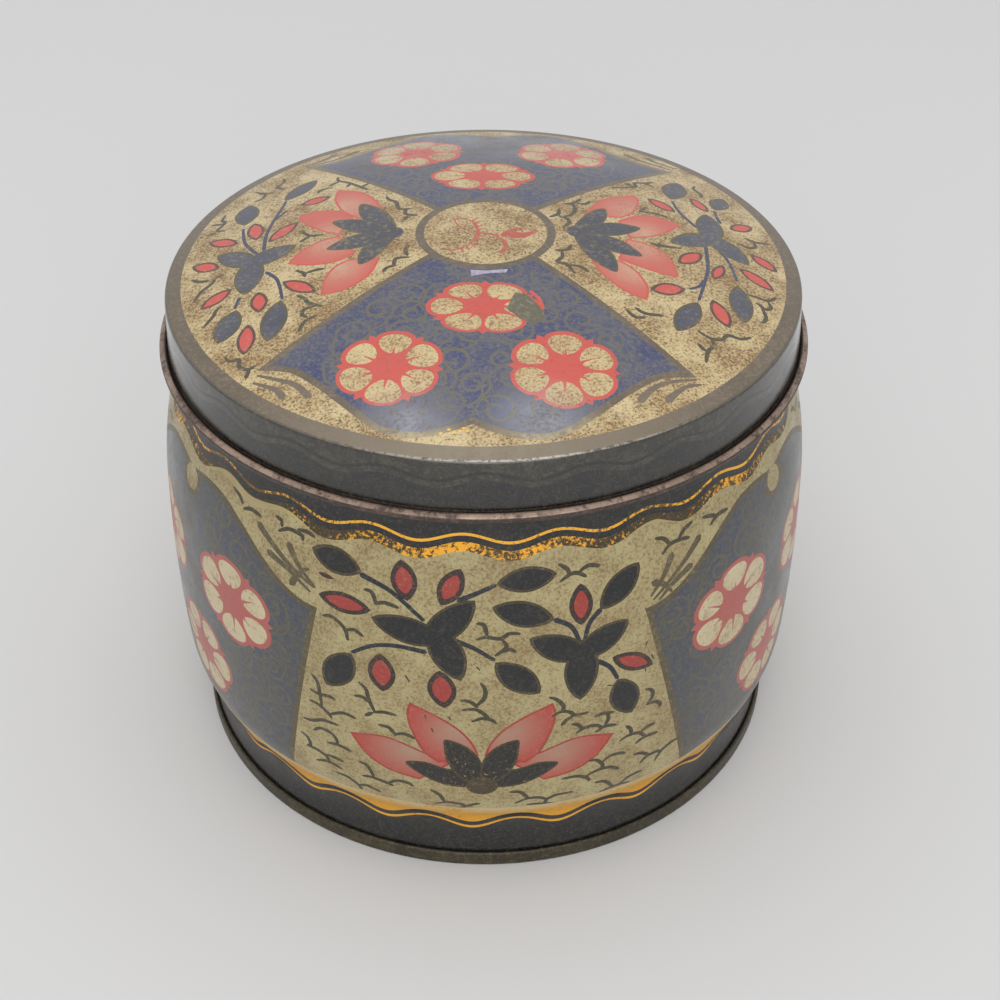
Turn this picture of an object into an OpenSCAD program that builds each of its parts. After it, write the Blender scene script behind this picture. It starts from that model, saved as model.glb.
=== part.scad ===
// Round biscuit tin with a swelling body, a seamed-on base and a domed lift-off lid.
// All sizes are in millimetres. The tin stands on z = 0 with its axis on z.
// Each piece is one sheet of tinplate, drawn as a path of [radius, height, lean]
// along its outer face, where lean is the angle of the face's normal above level.

/* [Tinplate] */
// Thickness of the sheet
sheet_t = 0.3; // [0.2:0.05:0.5]
// Room between the layers of a folded seam
fold_gap = 0.04; // [0.02:0.01:0.08]

/* [Base] */
// Diameter over the base seam
seam_d = 152; // [148:0.5:156]
// Height of the base seam
seam_h = 4.1; // [3:0.1:5]
// Rounding of the seam's lower edges
seam_edge_r = 0.5; // [0.35:0.05:0.6]
// Depth of the base panel above the table
base_recess = 3; // [2:0.1:4]

/* [Body] */
// Diameter at the waist above the base
waist_d = 149; // [144:0.2:152]
// Height of the waist
waist_z = 9.5; // [8:0.25:13]
// Diameter of the belly at its widest
belly_d = 160.8; // [155:0.2:168]
// Swell of the belly between its lower and upper shoulders
belly_crown = 0.7; // [0.25:0.05:2]
// Height of the lower shoulder
belly_low_z = 29; // [26:0.5:40]
// Height of the upper shoulder
belly_high_z = 76.5; // [60:0.5:86]
// Height of the foot of the neck
neck_z = 108; // [102:0.5:116]
// Length of the neck above its foot
neck_h = 15.3; // [14:0.1:20]
// Rounding of the hem on the rim
hem_r = 0.6; // [0.5:0.05:0.9]
// Length of the hem turned down inside
hem_l = 3; // [2:0.1:5]

/* [Lid] */
// Diameter over the lid at its top edge
lid_d = 150; // [148:0.5:153]
// Rise of the dome
dome_h = 11.4; // [6:0.2:16]
// Rounding of the lid's top edge
lid_edge_r = 1; // [0.6:0.1:2]
// Height from the lid's lowest point to its top edge
skirt_h = 14.5; // [12:0.25:17]
// Lean of the skirt, so that the lid slips on
skirt_lean = 3; // [0:0.25:5]
// Diameter of the wire in the lid's rolled edge
wire_d = 1.7; // [1.2:0.1:2.2]
// Turn of the sheet around the wire
curl_turn = 290; // [250:5:300]

/* [Fits] */
// Room between the lid's skirt and the neck
lid_gap = 0.3; // [0.2:0.05:0.6]
// Room between the rim and the dome that it carries
seat_gap = 0.25; // [0.15:0.05:0.4]
// Room around the wire
wire_gap = 0.03; // [0.02:0.01:0.06]

/* [Hidden] */
$fn = 96;
arc_steps = 10;
curl_steps = 24;
// Part of each swell that belongs to the arc at its upright end
foot_share = 0.3;
waist_share = 0.5;
neck_share = 0.22;

// Base seam, from the outside in: pan, body hook, pan hook, body, pan
seam_r = seam_d / 2;
layer = sheet_t + fold_gap;
fold_in_r = (sheet_t + 2 * fold_gap) / 2;
fold_out_r = fold_in_r + sheet_t;
body_seam_r = seam_r - 3 * layer;
pan_hook_r = body_seam_r + fold_gap;
chuck_r = seam_r - 4 * layer - sheet_t;
seam_fold_z = seam_h - fold_out_r;
body_fold_z = layer + fold_out_r;
body_hook_z = seam_fold_z - fold_gap;
pan_hook_z = body_fold_z + fold_gap;

// Belly
belly_half = (belly_high_z - belly_low_z) / 2;
belly_r = (belly_half * belly_half + belly_crown * belly_crown) / (2 * belly_crown);
belly_lean = asin(belly_half / belly_r);
shoulder_r = belly_d / 2 - belly_crown;

// Lid and neck
lid_r = lid_d / 2;
neck_r = lid_r - sheet_t - lid_gap;
hem_z = neck_z + neck_h - hem_r;
dome_r = (lid_r * lid_r + dome_h * dome_h) / (2 * dome_h);
seat_r = dome_r - sheet_t - seat_gap - hem_r;
dome_z = hem_z - sqrt(seat_r * seat_r - (neck_r - hem_r) * (neck_r - hem_r));
lid_edge_z = dome_z + dome_r - dome_h;
lid_round_r = lid_r - lid_edge_r;
dome_half_angle = asin(lid_round_r / (dome_r - lid_edge_r));
lid_round_z = dome_z + (dome_r - lid_edge_r) * cos(dome_half_angle);
wire_r = wire_d / 2;
curl_z = lid_edge_z - skirt_h + wire_r + sheet_t;
skirt_top_r = lid_round_r + lid_edge_r * cos(skirt_lean);
skirt_top_z = lid_round_z + lid_edge_r * sin(skirt_lean);
skirt_end_z = curl_z - wire_r * sin(skirt_lean);
skirt_end_r = skirt_top_r + (skirt_top_z - skirt_end_z) * tan(skirt_lean);
wire_axis_r = skirt_end_r + wire_r * cos(skirt_lean);

// Points on an arc whose outer face looks away from the centre
function round_out(r, z, size, from, to, steps) =
  [for (i = [0:steps])
    let (a = from + (to - from) * i / steps)
      [r + size * cos(a), z + size * sin(a), a]];

// Points on an arc whose outer face looks at the centre
function round_in(r, z, size, from, to, steps) =
  [for (i = [0:steps])
    let (a = from + (to - from) * i / steps)
      [r + size * cos(a), z + size * sin(a), a + 180]];

// Two arcs from an upright line at r0 to a wall at r1 whose face leans, inwards or outwards
function swell(r0, z0, r1, z1, share, lean) =
  let (
    way = r0 < r1 ? -1 : 1,
    slope = abs(r0 - r1) / (z1 - z0),
    rise = (1 - share) * way * sin(lean),
    reach = share + (1 - share) * cos(lean),
    turn = way * (atan(slope) + acos((reach + slope * rise) / sqrt(1 + slope * slope))),
    span = (z1 - z0) / (way * sin(turn) - rise),
    first = way * span * share,
    second = way * span * (1 - share)
  )
  concat(
    [for (i = [0:arc_steps])
      let (a = turn * i / arc_steps)
        [r0 - first * (1 - cos(a)), z0 + first * sin(a), a]],
    [for (i = [1:arc_steps])
      let (a = turn + (lean - turn) * i / arc_steps)
        [r1 + second * (cos(lean) - cos(a)), z1 - second * (sin(a) - sin(lean)), a]]
  );

// A path turned upside down about z = 0, still running upwards
function upturned(path) =
  [for (i = [len(path) - 1:-1:0]) [path[i][0], -path[i][1], -path[i][2]]];

// The sheet's section: the path, and the same path one thickness in from it
function section(path) =
  concat(
    [for (p = path) [p[0], p[1]]],
    [for (i = [len(path) - 1:-1:0])
      let (p = path[i])
        [p[0] - sheet_t * cos(p[2]), p[1] - sheet_t * sin(p[2])]]
  );

// A sheet turned about the tin's axis
module spun_sheet(path) {
  rotate_extrude() polygon(section(path));
}

body_path = concat(
  [[body_seam_r + 2 * fold_in_r, body_hook_z, 180]],
  round_in(body_seam_r + fold_in_r, body_fold_z, fold_in_r, 360, 180, arc_steps),
  swell(body_seam_r, seam_h, waist_d / 2, waist_z, foot_share, 0),
  swell(waist_d / 2, waist_z, shoulder_r, belly_low_z, waist_share, -belly_lean),
  round_out(belly_d / 2 - belly_r, belly_low_z + belly_half, belly_r, -belly_lean, belly_lean, arc_steps),
  upturned(swell(neck_r, -neck_z, shoulder_r, -belly_high_z, neck_share, -belly_lean)),
  round_out(neck_r - hem_r, hem_z, hem_r, 0, 180, arc_steps),
  [[neck_r - 2 * hem_r, hem_z - hem_l, 180]]
);

pan_path = concat(
  [[0, base_recess, 270]],
  round_in(chuck_r - seam_edge_r, base_recess - seam_edge_r, seam_edge_r, 90, 0, arc_steps),
  round_out(chuck_r + seam_edge_r, seam_edge_r, seam_edge_r, 180, 270, arc_steps),
  round_out(seam_r - seam_edge_r, seam_edge_r, seam_edge_r, 270, 360, arc_steps),
  round_out(seam_r - fold_out_r, seam_fold_z, fold_out_r, 0, 180, arc_steps),
  [[pan_hook_r, pan_hook_z, 180]]
);

lid_path = concat(
  round_out(0, dome_z, dome_r, 90, 90 - dome_half_angle, arc_steps * 2),
  round_out(lid_round_r, lid_round_z, lid_edge_r, 90 - dome_half_angle, skirt_lean, arc_steps),
  round_in(wire_axis_r, curl_z, wire_r, 180 + skirt_lean, 180 + skirt_lean + curl_turn, curl_steps)
);

// Side of the tin: one sheet with its foot hooked into the base seam and its rim hemmed
module body_wall() {
  color("#3b404c") spun_sheet(body_path);
}

// Base: a pan whose edge is folded over the body's hook
module base_pan() {
  color("#5b5442") spun_sheet(pan_path);
}

// Lid: a drawn dome and skirt with its edge rolled around the wire
module lid_shell() {
  color("#a99a6c") spun_sheet(lid_path);
}

// Ring of wire that stiffens the lid's edge
module lid_wire() {
  color("#8c8c8c")
    rotate_extrude() translate([wire_axis_r, curl_z]) circle(r = wire_r - wire_gap);
}

body_wall();
base_pan();
lid_shell();
lid_wire();
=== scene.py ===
import bisect
import math

import bpy
import numpy as np
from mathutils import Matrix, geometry


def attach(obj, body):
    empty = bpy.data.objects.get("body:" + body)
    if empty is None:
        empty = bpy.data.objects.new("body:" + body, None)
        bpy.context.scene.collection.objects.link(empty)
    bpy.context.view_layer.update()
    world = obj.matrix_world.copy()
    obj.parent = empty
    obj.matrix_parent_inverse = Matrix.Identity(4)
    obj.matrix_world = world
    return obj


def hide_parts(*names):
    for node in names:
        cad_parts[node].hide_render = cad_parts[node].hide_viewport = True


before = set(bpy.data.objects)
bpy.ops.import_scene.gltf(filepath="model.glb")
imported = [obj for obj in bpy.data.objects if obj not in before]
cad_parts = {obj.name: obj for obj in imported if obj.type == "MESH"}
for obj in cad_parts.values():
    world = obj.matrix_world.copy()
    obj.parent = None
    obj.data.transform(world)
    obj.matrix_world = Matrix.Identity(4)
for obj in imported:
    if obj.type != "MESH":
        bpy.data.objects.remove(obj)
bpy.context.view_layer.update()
bpy.ops.object.select_all(action="DESELECT")

MM = 0.001

# Steps of the turned and rounded shapes
TURNS = 240
SWELL_STEPS = 12
BELLY_STEPS = 24
ROUND_STEPS = 10
DOME_STEPS = 80
CURL_STEPS = 30

# Points nearer to each other than this are one
MERGE = 0.01 * MM

# Tinplate, in millimetres, as all sizes below
SHEET_T = 0.3

# Body: seam, waist, belly and neck
SEAM_R = 74.98
SEAM_Z = 4.1
FOOT_Z = 3.4
WAIST_R = 74.5
WAIST_Z = 9.5
SHOULDER_R = 79.7
BELLY_CROWN = 0.7
BELLY_LOW_Z = 29
BELLY_HIGH_Z = 76.5
NECK_R = 74.4
NECK_Z = 108
HEM_Z = 122.7
HEM_R = 0.6
HEM_L = 3
HEM_GAP = 0.2

# Part of each swell that belongs to the arc at its upright end
FOOT_SHARE = 0.3
WAIST_SHARE = 0.5
NECK_SHARE = 0.22

# Base: height and radius of the part of its upper face that the wall keeps from the paint
BASE_FLOOR_Z = 3.15
BASE_RIM_R = 74.2

# Lid: dome, edge, skirt and rolled bead
DOME_R = 252.41
DOME_Z = -117.48
LID_ROUND_R = 74
LID_EDGE_R = 1
SKIRT_LEAN = math.radians(3)
CURL_Z = 110.18
WIRE_R = 0.85
CURL_TURN = math.radians(290)


# Paths along the outer face of a sheet, as [radius, height, lean of the face above level]
def swell(r0, z0, r1, z1, share, lean, steps=SWELL_STEPS):
    """Two arcs from an upright line at r0 to a wall at r1 whose face leans."""
    way = -1 if r0 < r1 else 1
    slope = abs(r0 - r1) / (z1 - z0)
    rise = (1 - share) * way * math.sin(lean)
    reach = share + (1 - share) * math.cos(lean)
    cosine = min(1, (reach + slope * rise) / math.sqrt(1 + slope * slope))
    turn = way * (math.atan(slope) + math.acos(cosine))
    span = (z1 - z0) / (way * math.sin(turn) - rise)
    first, second = way * span * share, way * span * (1 - share)
    path = []
    for i in range(steps + 1):
        a = turn * i / steps
        path.append((r0 - first * (1 - math.cos(a)), z0 + first * math.sin(a), a))
    for i in range(1, steps + 1):
        a = turn + (lean - turn) * i / steps
        r = r1 + second * (math.cos(lean) - math.cos(a))
        z = z1 - second * (math.sin(a) - math.sin(lean))
        path.append((r, z, a))
    return path


def arc(r, z, size, start, end, steps=ROUND_STEPS, facing=0.0):
    """Points on an arc, whose face looks away from the centre or, turned by facing, at it."""
    points = []
    for i in range(steps + 1):
        a = start + (end - start) * i / steps
        points.append((r + size * math.cos(a), z + size * math.sin(a), a + facing))
    return points


def inside(path):
    """The other face of the same sheet, followed back from its end."""
    back = []
    for r, z, lean in reversed(path):
        inner_r = max(r - SHEET_T * math.cos(lean), 0)
        back.append((inner_r, z - SHEET_T * math.sin(lean), lean + math.pi))
    return back


def measured(path):
    """The path with the distance along it in front of each point."""
    run, points = 0.0, []
    for i, (r, z, lean) in enumerate(path):
        if i:
            run += math.dist((r, z), path[i - 1][:2])
        if not points or run > points[-1][0] + 1e-6:
            points.append((run, r, z, lean))
    return points


def at(path, distance):
    """Radius, height and lean at a distance along a measured path."""
    i = bisect.bisect_left(path, (distance,))
    i = min(max(i, 1), len(path) - 1)
    a, b = path[i - 1], path[i]
    t = (distance - a[0]) / (b[0] - a[0])
    return tuple(a[k] + (b[k] - a[k]) * t for k in (1, 2, 3))


belly_half = (BELLY_HIGH_Z - BELLY_LOW_Z) / 2
belly_r = (belly_half ** 2 + BELLY_CROWN ** 2) / (2 * BELLY_CROWN)
belly_lean = math.asin(belly_half / belly_r)
belly_axis_r = SHOULDER_R + BELLY_CROWN - belly_r
belly_z = BELLY_LOW_Z + belly_half
neck_swell = swell(NECK_R, -NECK_Z, SHOULDER_R, -BELLY_HIGH_Z, NECK_SHARE, -belly_lean)
body_side = (
    [(SEAM_R, FOOT_Z, 0.0)]
    + swell(SEAM_R, SEAM_Z, WAIST_R, WAIST_Z, FOOT_SHARE, 0.0)
    + swell(WAIST_R, WAIST_Z, SHOULDER_R, BELLY_LOW_Z, WAIST_SHARE, -belly_lean)
    + arc(belly_axis_r, belly_z, belly_r, -belly_lean, belly_lean, BELLY_STEPS)
    + [(r, -z, -lean) for r, z, lean in reversed(neck_swell)]
    + [(NECK_R, HEM_Z, 0.0)]
)
body_skin = measured(body_side)
hem = arc(NECK_R - HEM_R, HEM_Z, HEM_R, 0, math.pi)
hem_end = [(NECK_R - 2 * HEM_R, HEM_Z - HEM_L, math.pi)]
hem_root = (NECK_R - SHEET_T, HEM_Z - HEM_L - HEM_GAP, math.pi)
body_wall_inside = [p for p in inside(body_side) if p[1] < hem_root[1] - HEM_GAP]
body_lining = hem + hem_end + [hem_root] + body_wall_inside + [(SEAM_R, FOOT_Z, -math.pi / 2)]

dome_turn = math.asin(LID_ROUND_R / (DOME_R - LID_EDGE_R))
lid_round_z = DOME_Z + (DOME_R - LID_EDGE_R) * math.cos(dome_turn)
skirt_top_r = LID_ROUND_R + LID_EDGE_R * math.cos(SKIRT_LEAN)
skirt_top_z = lid_round_z + LID_EDGE_R * math.sin(SKIRT_LEAN)
skirt_end_z = CURL_Z - WIRE_R * math.sin(SKIRT_LEAN)
skirt_end_r = skirt_top_r + (skirt_top_z - skirt_end_z) * math.tan(SKIRT_LEAN)
wire_axis_r = skirt_end_r + WIRE_R * math.cos(SKIRT_LEAN)
curl_start = math.pi + SKIRT_LEAN
lid_top = (
    arc(0, DOME_Z, DOME_R, math.pi / 2, math.pi / 2 - dome_turn, DOME_STEPS)
    + arc(LID_ROUND_R, lid_round_z, LID_EDGE_R, math.pi / 2 - dome_turn, SKIRT_LEAN)[1:]
    + [(skirt_end_r, skirt_end_z, SKIRT_LEAN)]
)
lid_skin = measured(lid_top)
curl = arc(wire_axis_r, CURL_Z, WIRE_R, curl_start, curl_start + CURL_TURN, CURL_STEPS, math.pi)

# The first third of the curl's outer face belongs to the lining, and the rest is the bead that shows
CURL_SHOWS = 10
bead = curl[-1:] + inside(curl[CURL_SHOWS:])
lid_lining = bead[-1:] + inside(
    lid_top[:1] + lid_top[1:-1:4] + lid_top[-1:] + curl[1:CURL_SHOWS])

# Flat blanks: the lid's is measured from its middle, and the body's along a girth and up from its seam
LID_EDGE_S = 75.4
LID_END_S = lid_skin[-1][0]
BODY_TOP_V = body_skin[-1][0]
SEAM_V = SEAM_Z - FOOT_Z
BLANK_R = 78
BLANK_L = 2 * math.pi * BLANK_R


def on_lid(x, y):
    """Place and lean on the lid of a point of its flat blank."""
    s = math.hypot(x, y)
    r, z, lean = at(lid_skin, s)
    c, d = (x / s, y / s) if s > 1e-9 else (1.0, 0.0)
    return (r * c, r * d, z), (math.cos(lean) * c, math.cos(lean) * d, math.sin(lean))


def on_body(u, v):
    """Place and lean on the body of a point of its flat blank, u along and v up from the seam."""
    r, z, lean = at(body_skin, v + SEAM_V)
    c, d = math.sin(u / BLANK_R), -math.cos(u / BLANK_R)
    return (r * c, r * d, z), (math.cos(lean) * c, math.cos(lean) * d, math.sin(lean))


# Outlines of the print, in millimetres on the flat blank
def ring(radius, count=TURNS):
    turns = [2 * math.pi * i / count for i in range(count)]
    return [(radius * math.cos(a), radius * math.sin(a)) for a in turns]


def fine_ring(radius):
    return ring(radius, 2 * TURNS)


def curved(points, closed=False, steps=6):
    """A smooth line through the points."""
    n = len(points)
    line = []
    for i in range(n if closed else n - 1):
        if closed:
            p = [points[(i + k) % n] for k in (-1, 0, 1, 2)]
        else:
            p = [points[min(max(i + k, 0), n - 1)] for k in (-1, 0, 1, 2)]
        for j in range(steps):
            t = j / steps
            w = (
                (-t + 2 * t * t - t ** 3) / 2,
                (2 - 5 * t * t + 3 * t ** 3) / 2,
                (t + 4 * t * t - 3 * t ** 3) / 2,
                (t ** 3 - t * t) / 2,
            )
            line.append(tuple(sum(w[k] * p[k][m] for k in range(4)) for m in (0, 1)))
    if not closed:
        line.append(tuple(points[-1]))
    return line


def anticlockwise(outline):
    area = 0.0
    for (x0, y0), (x1, y1) in zip(outline, outline[1:] + outline[:1]):
        area += x0 * y1 - x1 * y0
    return outline if area > 0 else outline[::-1]


def lens(start, end, half, steps=16):
    """A pointed oval between two tips."""
    bluntness = 0.7
    length = math.dist(start, end)
    ux, uy = (end[0] - start[0]) / length, (end[1] - start[1]) / length
    right, left = [], []
    for i in range(steps + 1):
        t = i / steps
        reach = half * math.sin(math.pi * t) ** bluntness if 0 < i < steps else 0.0
        x, y = start[0] + ux * t * length, start[1] + uy * t * length
        right.append((x + uy * reach, y - ux * reach))
        left.append((x - uy * reach, y + ux * reach))
    return right + left[-2:0:-1]


def stroke(points, start_w, end_w=None, steps=6, taper=0.0):
    """A brush line through the points, with its width at both ends, which a taper draws to a tip."""
    end_w = start_w if end_w is None else end_w
    line = curved(points, steps=steps)
    n = len(line) - 1
    right, left = [], []
    for i, (x, y) in enumerate(line):
        a, b = line[max(i - 1, 0)], line[min(i + 1, n)]
        run = math.dist(a, b)
        ux, uy = (b[0] - a[0]) / run, (b[1] - a[1]) / run
        w = (start_w + (end_w - start_w) * i / n) / 2
        w *= 1 - taper * abs(2 * i / n - 1) ** 3
        right.append((x + uy * w, y - ux * w))
        left.append((x - uy * w, y + ux * w))
        if i == 0:
            head = (x - ux * w, y - uy * w)
        tail = (x + ux * w, y + uy * w)
    return right + [tail] + left[::-1] + [head]


def between(start, end, distance):
    """The point at a distance from the start towards the end."""
    share = distance / math.dist(start, end)
    return tuple(start[k] + (end[k] - start[k]) * share for k in (0, 1))


def round_spot(x, y, rx, ry=None, steps=32):
    ry = rx if ry is None else ry
    turns = [2 * math.pi * i / steps for i in range(steps)]
    return [(x + rx * math.cos(a), y + ry * math.sin(a)) for a in turns]


def inset(outline, depth):
    """The outline drawn in by a depth, for the ink inside a printed edge."""
    line = np.array(outline)
    ahead = np.roll(line, -1, axis=0) - line
    run = np.hypot(*ahead.T)
    sides = np.stack([-ahead[:, 1], ahead[:, 0]], axis=1) / run[:, None]
    joints = sides + np.roll(sides, 1, axis=0)
    sharpest = 0.25
    spread = np.maximum((joints ** 2).sum(axis=1) / 2, sharpest)
    drawn = line + depth * joints / spread[:, None]
    kept = []
    for point in drawn:
        along = np.clip(((point - line) * ahead).sum(axis=1) / run ** 2, 0, 1)
        gaps = np.hypot(*(line + along[:, None] * ahead - point).T)
        if gaps.min() > 0.96 * depth:
            kept.append(tuple(point))
    return kept


class Print:
    """The inks laid on a flat blank, in the order in which they are printed."""

    LEAF_RIM = 0.65
    PETAL_RIM = 0.55
    STEM_W = 1.05
    TUFT_W = (0.95, 1.15)
    SCROLL_W = (0.65, 1.0)
    # Length of the rim at a leaf's or pod's tips, to its width along the sides
    TIP_RIM = 1.6
    # Reach of a petal's pale part, to the petal's length
    PALE_REACH = 0.52

    def __init__(self, pod_rim=0.7):
        self.shapes = []
        self.pod_rim = pod_rim

    def lay(self, ink, outline, fade_and_light=None):
        """Adds a shape, with how far its ink shifts at each point of the blank: where the print fades, and
        where sheen, highlight or shade is painted.
        """
        self.shapes.append((ink, anticlockwise(list(outline)), fade_and_light))

    def leaf(self, start, end, half):
        self.spray([(start, end, half)])

    def spray(self, leaves):
        """Leaves that grow into each other, with one edge around them all."""
        for start, end, half in leaves:
            self.lay("leaf edge", lens(start, end, half))
        for leaf in leaves:
            self.lay("leaf", self.within(*leaf, self.LEAF_RIM))

    def within(self, start, end, half, rim):
        """The oval inside a leaf's or pod's rim."""
        tip = self.TIP_RIM * rim
        return lens(between(start, end, tip), between(end, start, tip), half - rim)

    def sepals(self, outlines):
        """Broad sepals that grow into each other, each with its own edge."""
        for outline in outlines:
            drawn = anticlockwise(curved(outline, closed=True, steps=4))
            self.lay("leaf edge", drawn)
            self.lay("calyx", inset(drawn, self.PETAL_RIM))

    def pod(self, start, end, half):
        self.lay("pod edge", lens(start, end, half))
        self.lay("red", self.within(start, end, half, self.pod_rim))

    def stem(self, points, width=STEM_W):
        self.lay("stem", stroke(points, width, width * 0.7))

    def tuft(self, *lines):
        for points in lines:
            self.lay("tuft", stroke(points, *self.TUFT_W, taper=0.45))

    def petal(self, tip, first, second, pale):
        """A petal between two edges that run from its tip to its foot, palest at the point given."""
        foot = tuple((first[-1][k] + second[-1][k]) / 2 for k in (0, 1))
        edge = curved([tip] + first)
        back = curved([tip] + second)
        outline = anticlockwise(edge + back[:0:-1])
        reach = self.PALE_REACH * math.dist(tip, foot)

        def paler(x, y):
            return 1 - np.hypot(x - pale[0], y - pale[1]) / reach

        self.lay("red", outline)
        self.lay("petal", inset(outline, self.PETAL_RIM), paler)

    def blossom(self, x, y, rx, ry, turn, fade_and_light=None):
        """A red blossom with six cream petals, drawn by hand: lobed, uneven, with a spike on each petal."""
        petals = 6
        turn = math.radians(turn)

        def polar(angle, reach):
            return (x + rx * reach * math.cos(angle), y + ry * reach * math.sin(angle))

        # Round lobes, with a small thorn in the cleft between two of them
        steps = 12
        cleft = {steps // 2: 0.99, steps // 2 - 1: 0.88, steps // 2 + 1: 0.88}
        rim = []
        for i in range(petals * steps):
            a = 2 * math.pi * i / (petals * steps)
            lobe = 0.8 + 0.2 * abs(math.cos(a * petals / 2)) ** 0.5
            rim.append(polar(turn + a, cleft.get(i % steps, lobe)))
        self.lay("bloom", rim, fade_and_light)
        for k in range(petals):
            a = turn + 2 * math.pi * k / petals
            uneven = 1 + 0.05 * math.sin(5 * k + x)
            egg = []
            for i in range(24):
                t = 2 * math.pi * i / 24
                out = 0.63 + 0.285 * math.cos(t) * uneven
                side = 0.305 * math.sin(t) * (1 + 0.22 * math.cos(t)) * uneven
                egg.append(polar(a + math.atan2(side, out), math.hypot(out, side)))
            self.lay("blossom", egg, fade_and_light)
            way = 0.12 * math.sin(3 * k + y)
            foot = [polar(a + way + side, 0.3) for side in (-0.12, 0.12)]
            self.lay("bloom", foot + [polar(a + way * 0.3, 0.62 + way)], fade_and_light)
        # A heart with a fringe of twelve points
        heart = [polar(turn + 2 * math.pi * i / 36, 0.33 if i % 3 else 0.4) for i in range(36)]
        self.lay("bloom", heart, fade_and_light)

    def scrollwork(self, field, pitch, fade_and_light=None):
        """Curls in staggered rows over a field, uneven as if drawn by hand, where they stay within it."""
        low, high = np.min(field, axis=0), np.max(field, axis=0)
        rise, stray = 0.8 * pitch, 0.15 * pitch
        rows = int((high[1] - low[1]) / rise) + 1
        columns = int((high[0] - low[0]) / pitch) + 2
        for row in range(rows):
            for column in range(columns):
                x = low[0] + (column + row % 2 / 2) * pitch + stray * math.sin(3 * row + 5 * column)
                y = low[1] + rise * row + stray * math.sin(7 * row + 2 * column)
                size = pitch * (0.46 + 0.08 * math.sin(5 * row + 3 * column))
                way = 1 if (row + column) % 2 else -1
                # A tail that swings out of the curl, and then the curl itself, winding in
                spiral = []
                for i in range(-4, 15):
                    a = way * 0.62 * max(i, 0.55 * i) + 2 * row + 4 * column
                    reach = size * (1 - (0.055 if i > 0 else 0.3) * i)
                    spiral.append((x + reach * math.cos(a), y + reach * math.sin(a)))
                held = covered(field, np.array(spiral))
                outside = [i for i in range(len(spiral)) if i not in held]
                spiral = spiral[max(outside, default=-1) + 1:]
                if len(spiral) > 10:
                    line = stroke(spiral, *self.SCROLL_W, steps=2, taper=0.4)
                    if len(covered(field, np.array(line))) == len(line):
                        self.lay("scroll", line, fade_and_light)

    def place(self, other, move, back):
        """Adds another print with every point moved."""
        for ink, outline, fade_and_light in other.shapes:
            shade = fade_and_light and (lambda x, y, f=fade_and_light: f(*back(x, y)))
            self.shapes.append((ink, [move(x, y) for x, y in outline], shade))


def followed(outline, step=1.6):
    """The outline with points close enough to follow the curve of the tin."""
    line = []
    for a, b in zip(outline, outline[1:] + outline[:1]):
        n = max(math.ceil(math.dist(a, b) / step), 1)
        line += [(a[0] + (b[0] - a[0]) * i / n, a[1] + (b[1] - a[1]) * i / n) for i in range(n)]
    return line


def covered(outline, points):
    """Which of the points lie inside an outline."""
    outline = np.array(outline)
    low, high = outline.min(axis=0), outline.max(axis=0)
    near = np.flatnonzero(((points > low) & (points < high)).all(axis=1))
    x, y = points[near].T
    hits = np.zeros(len(near), bool)
    for (x0, y0), (x1, y1) in zip(outline, np.roll(outline, -1, axis=0)):
        if y0 != y1:
            hits ^= ((y0 > y) != (y1 > y)) & (x < x0 + (y - y0) * (x1 - x0) / (y1 - y0))
    return near[hits]


def printed_sheet(name, outline, shapes, spots, place, inks, ground):
    """A sheet cut along every outline of the print, so that each ink has its own faces."""
    names = list(inks)
    points, loops = [], []
    for shape in [outline] + [followed(shape) for _, shape, _ in shapes]:
        loops.append(list(range(len(points), len(points) + len(shape))))
        points.extend(shape)
    points.extend(spots)
    edges = [(a, b) for loop in loops for a, b in zip(loop, loop[1:] + loop[:1])]
    cut = geometry.delaunay_2d_cdt(points, edges, [], 0, 1e-5, False)
    flat, faces = np.array(cut[0]), np.array([f for f in cut[2] if len(f) == 3])
    middles = flat[faces].mean(axis=1)
    slots = np.full(len(faces), names.index(ground))
    fades = np.zeros(len(flat))
    for ink, shape, fade_and_light in shapes:
        inked = covered(shape, middles)
        slots[inked] = names.index(ink)
        if fade_and_light:
            touched = np.unique(faces[inked])
            fades[touched] = np.clip(fade_and_light(*flat[touched].T), 0, 1)
    held = covered(outline, middles)
    kept, slots = faces[held].tolist(), slots[held].tolist()
    used = sorted({i for face in kept for i in face})
    order = {old: new for new, old in enumerate(used)}
    places = [place(*flat[i]) for i in used]
    mesh = bpy.data.meshes.new(name)
    mesh.from_pydata(
        [tuple(c * MM for c in spot) for spot, _ in places],
        [],
        [[order[i] for i in face] for face in kept],
    )
    for ink in names:
        mesh.materials.append(inks[ink])
    mesh.polygons.foreach_set("material_index", slots)
    # How far the print fades at each point; the same values carry painted sheen, highlight and shade
    tint = mesh.attributes.new("fade_and_light", "FLOAT", "POINT")
    tint.data.foreach_set("value", [fades[i] for i in used])
    facing = mesh.attributes.new("facing", "FLOAT_VECTOR", "POINT")
    facing.data.foreach_set("vector", [c for _, lean in places for c in lean])
    sheet = bpy.data.objects.new(name, mesh)
    bpy.context.collection.objects.link(sheet)
    return sheet


def spun_sheet(name, path, material):
    """A plain sheet spun about the tin's axis from a path."""
    mesh = bpy.data.meshes.new(name)
    spots = [(r * MM, 0.0, z * MM) for r, z, _ in path]
    mesh.from_pydata(spots, [(i, i + 1) for i in range(len(spots) - 1)], [])
    mesh.materials.append(material)
    sheet = bpy.data.objects.new(name, mesh)
    bpy.context.collection.objects.link(sheet)
    bpy.ops.object.select_all(action="DESELECT")
    sheet.select_set(True)
    bpy.context.view_layer.objects.active = sheet
    bpy.ops.object.mode_set(mode="EDIT")
    bpy.ops.mesh.select_all(action="SELECT")
    bpy.ops.mesh.spin(steps=TURNS, angle=2 * math.pi, center=(0, 0, 0), axis=(0, 0, 1))
    bpy.ops.mesh.select_all(action="SELECT")
    bpy.ops.mesh.remove_doubles(threshold=MERGE)
    bpy.ops.object.mode_set(mode="OBJECT")
    return sheet


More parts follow.
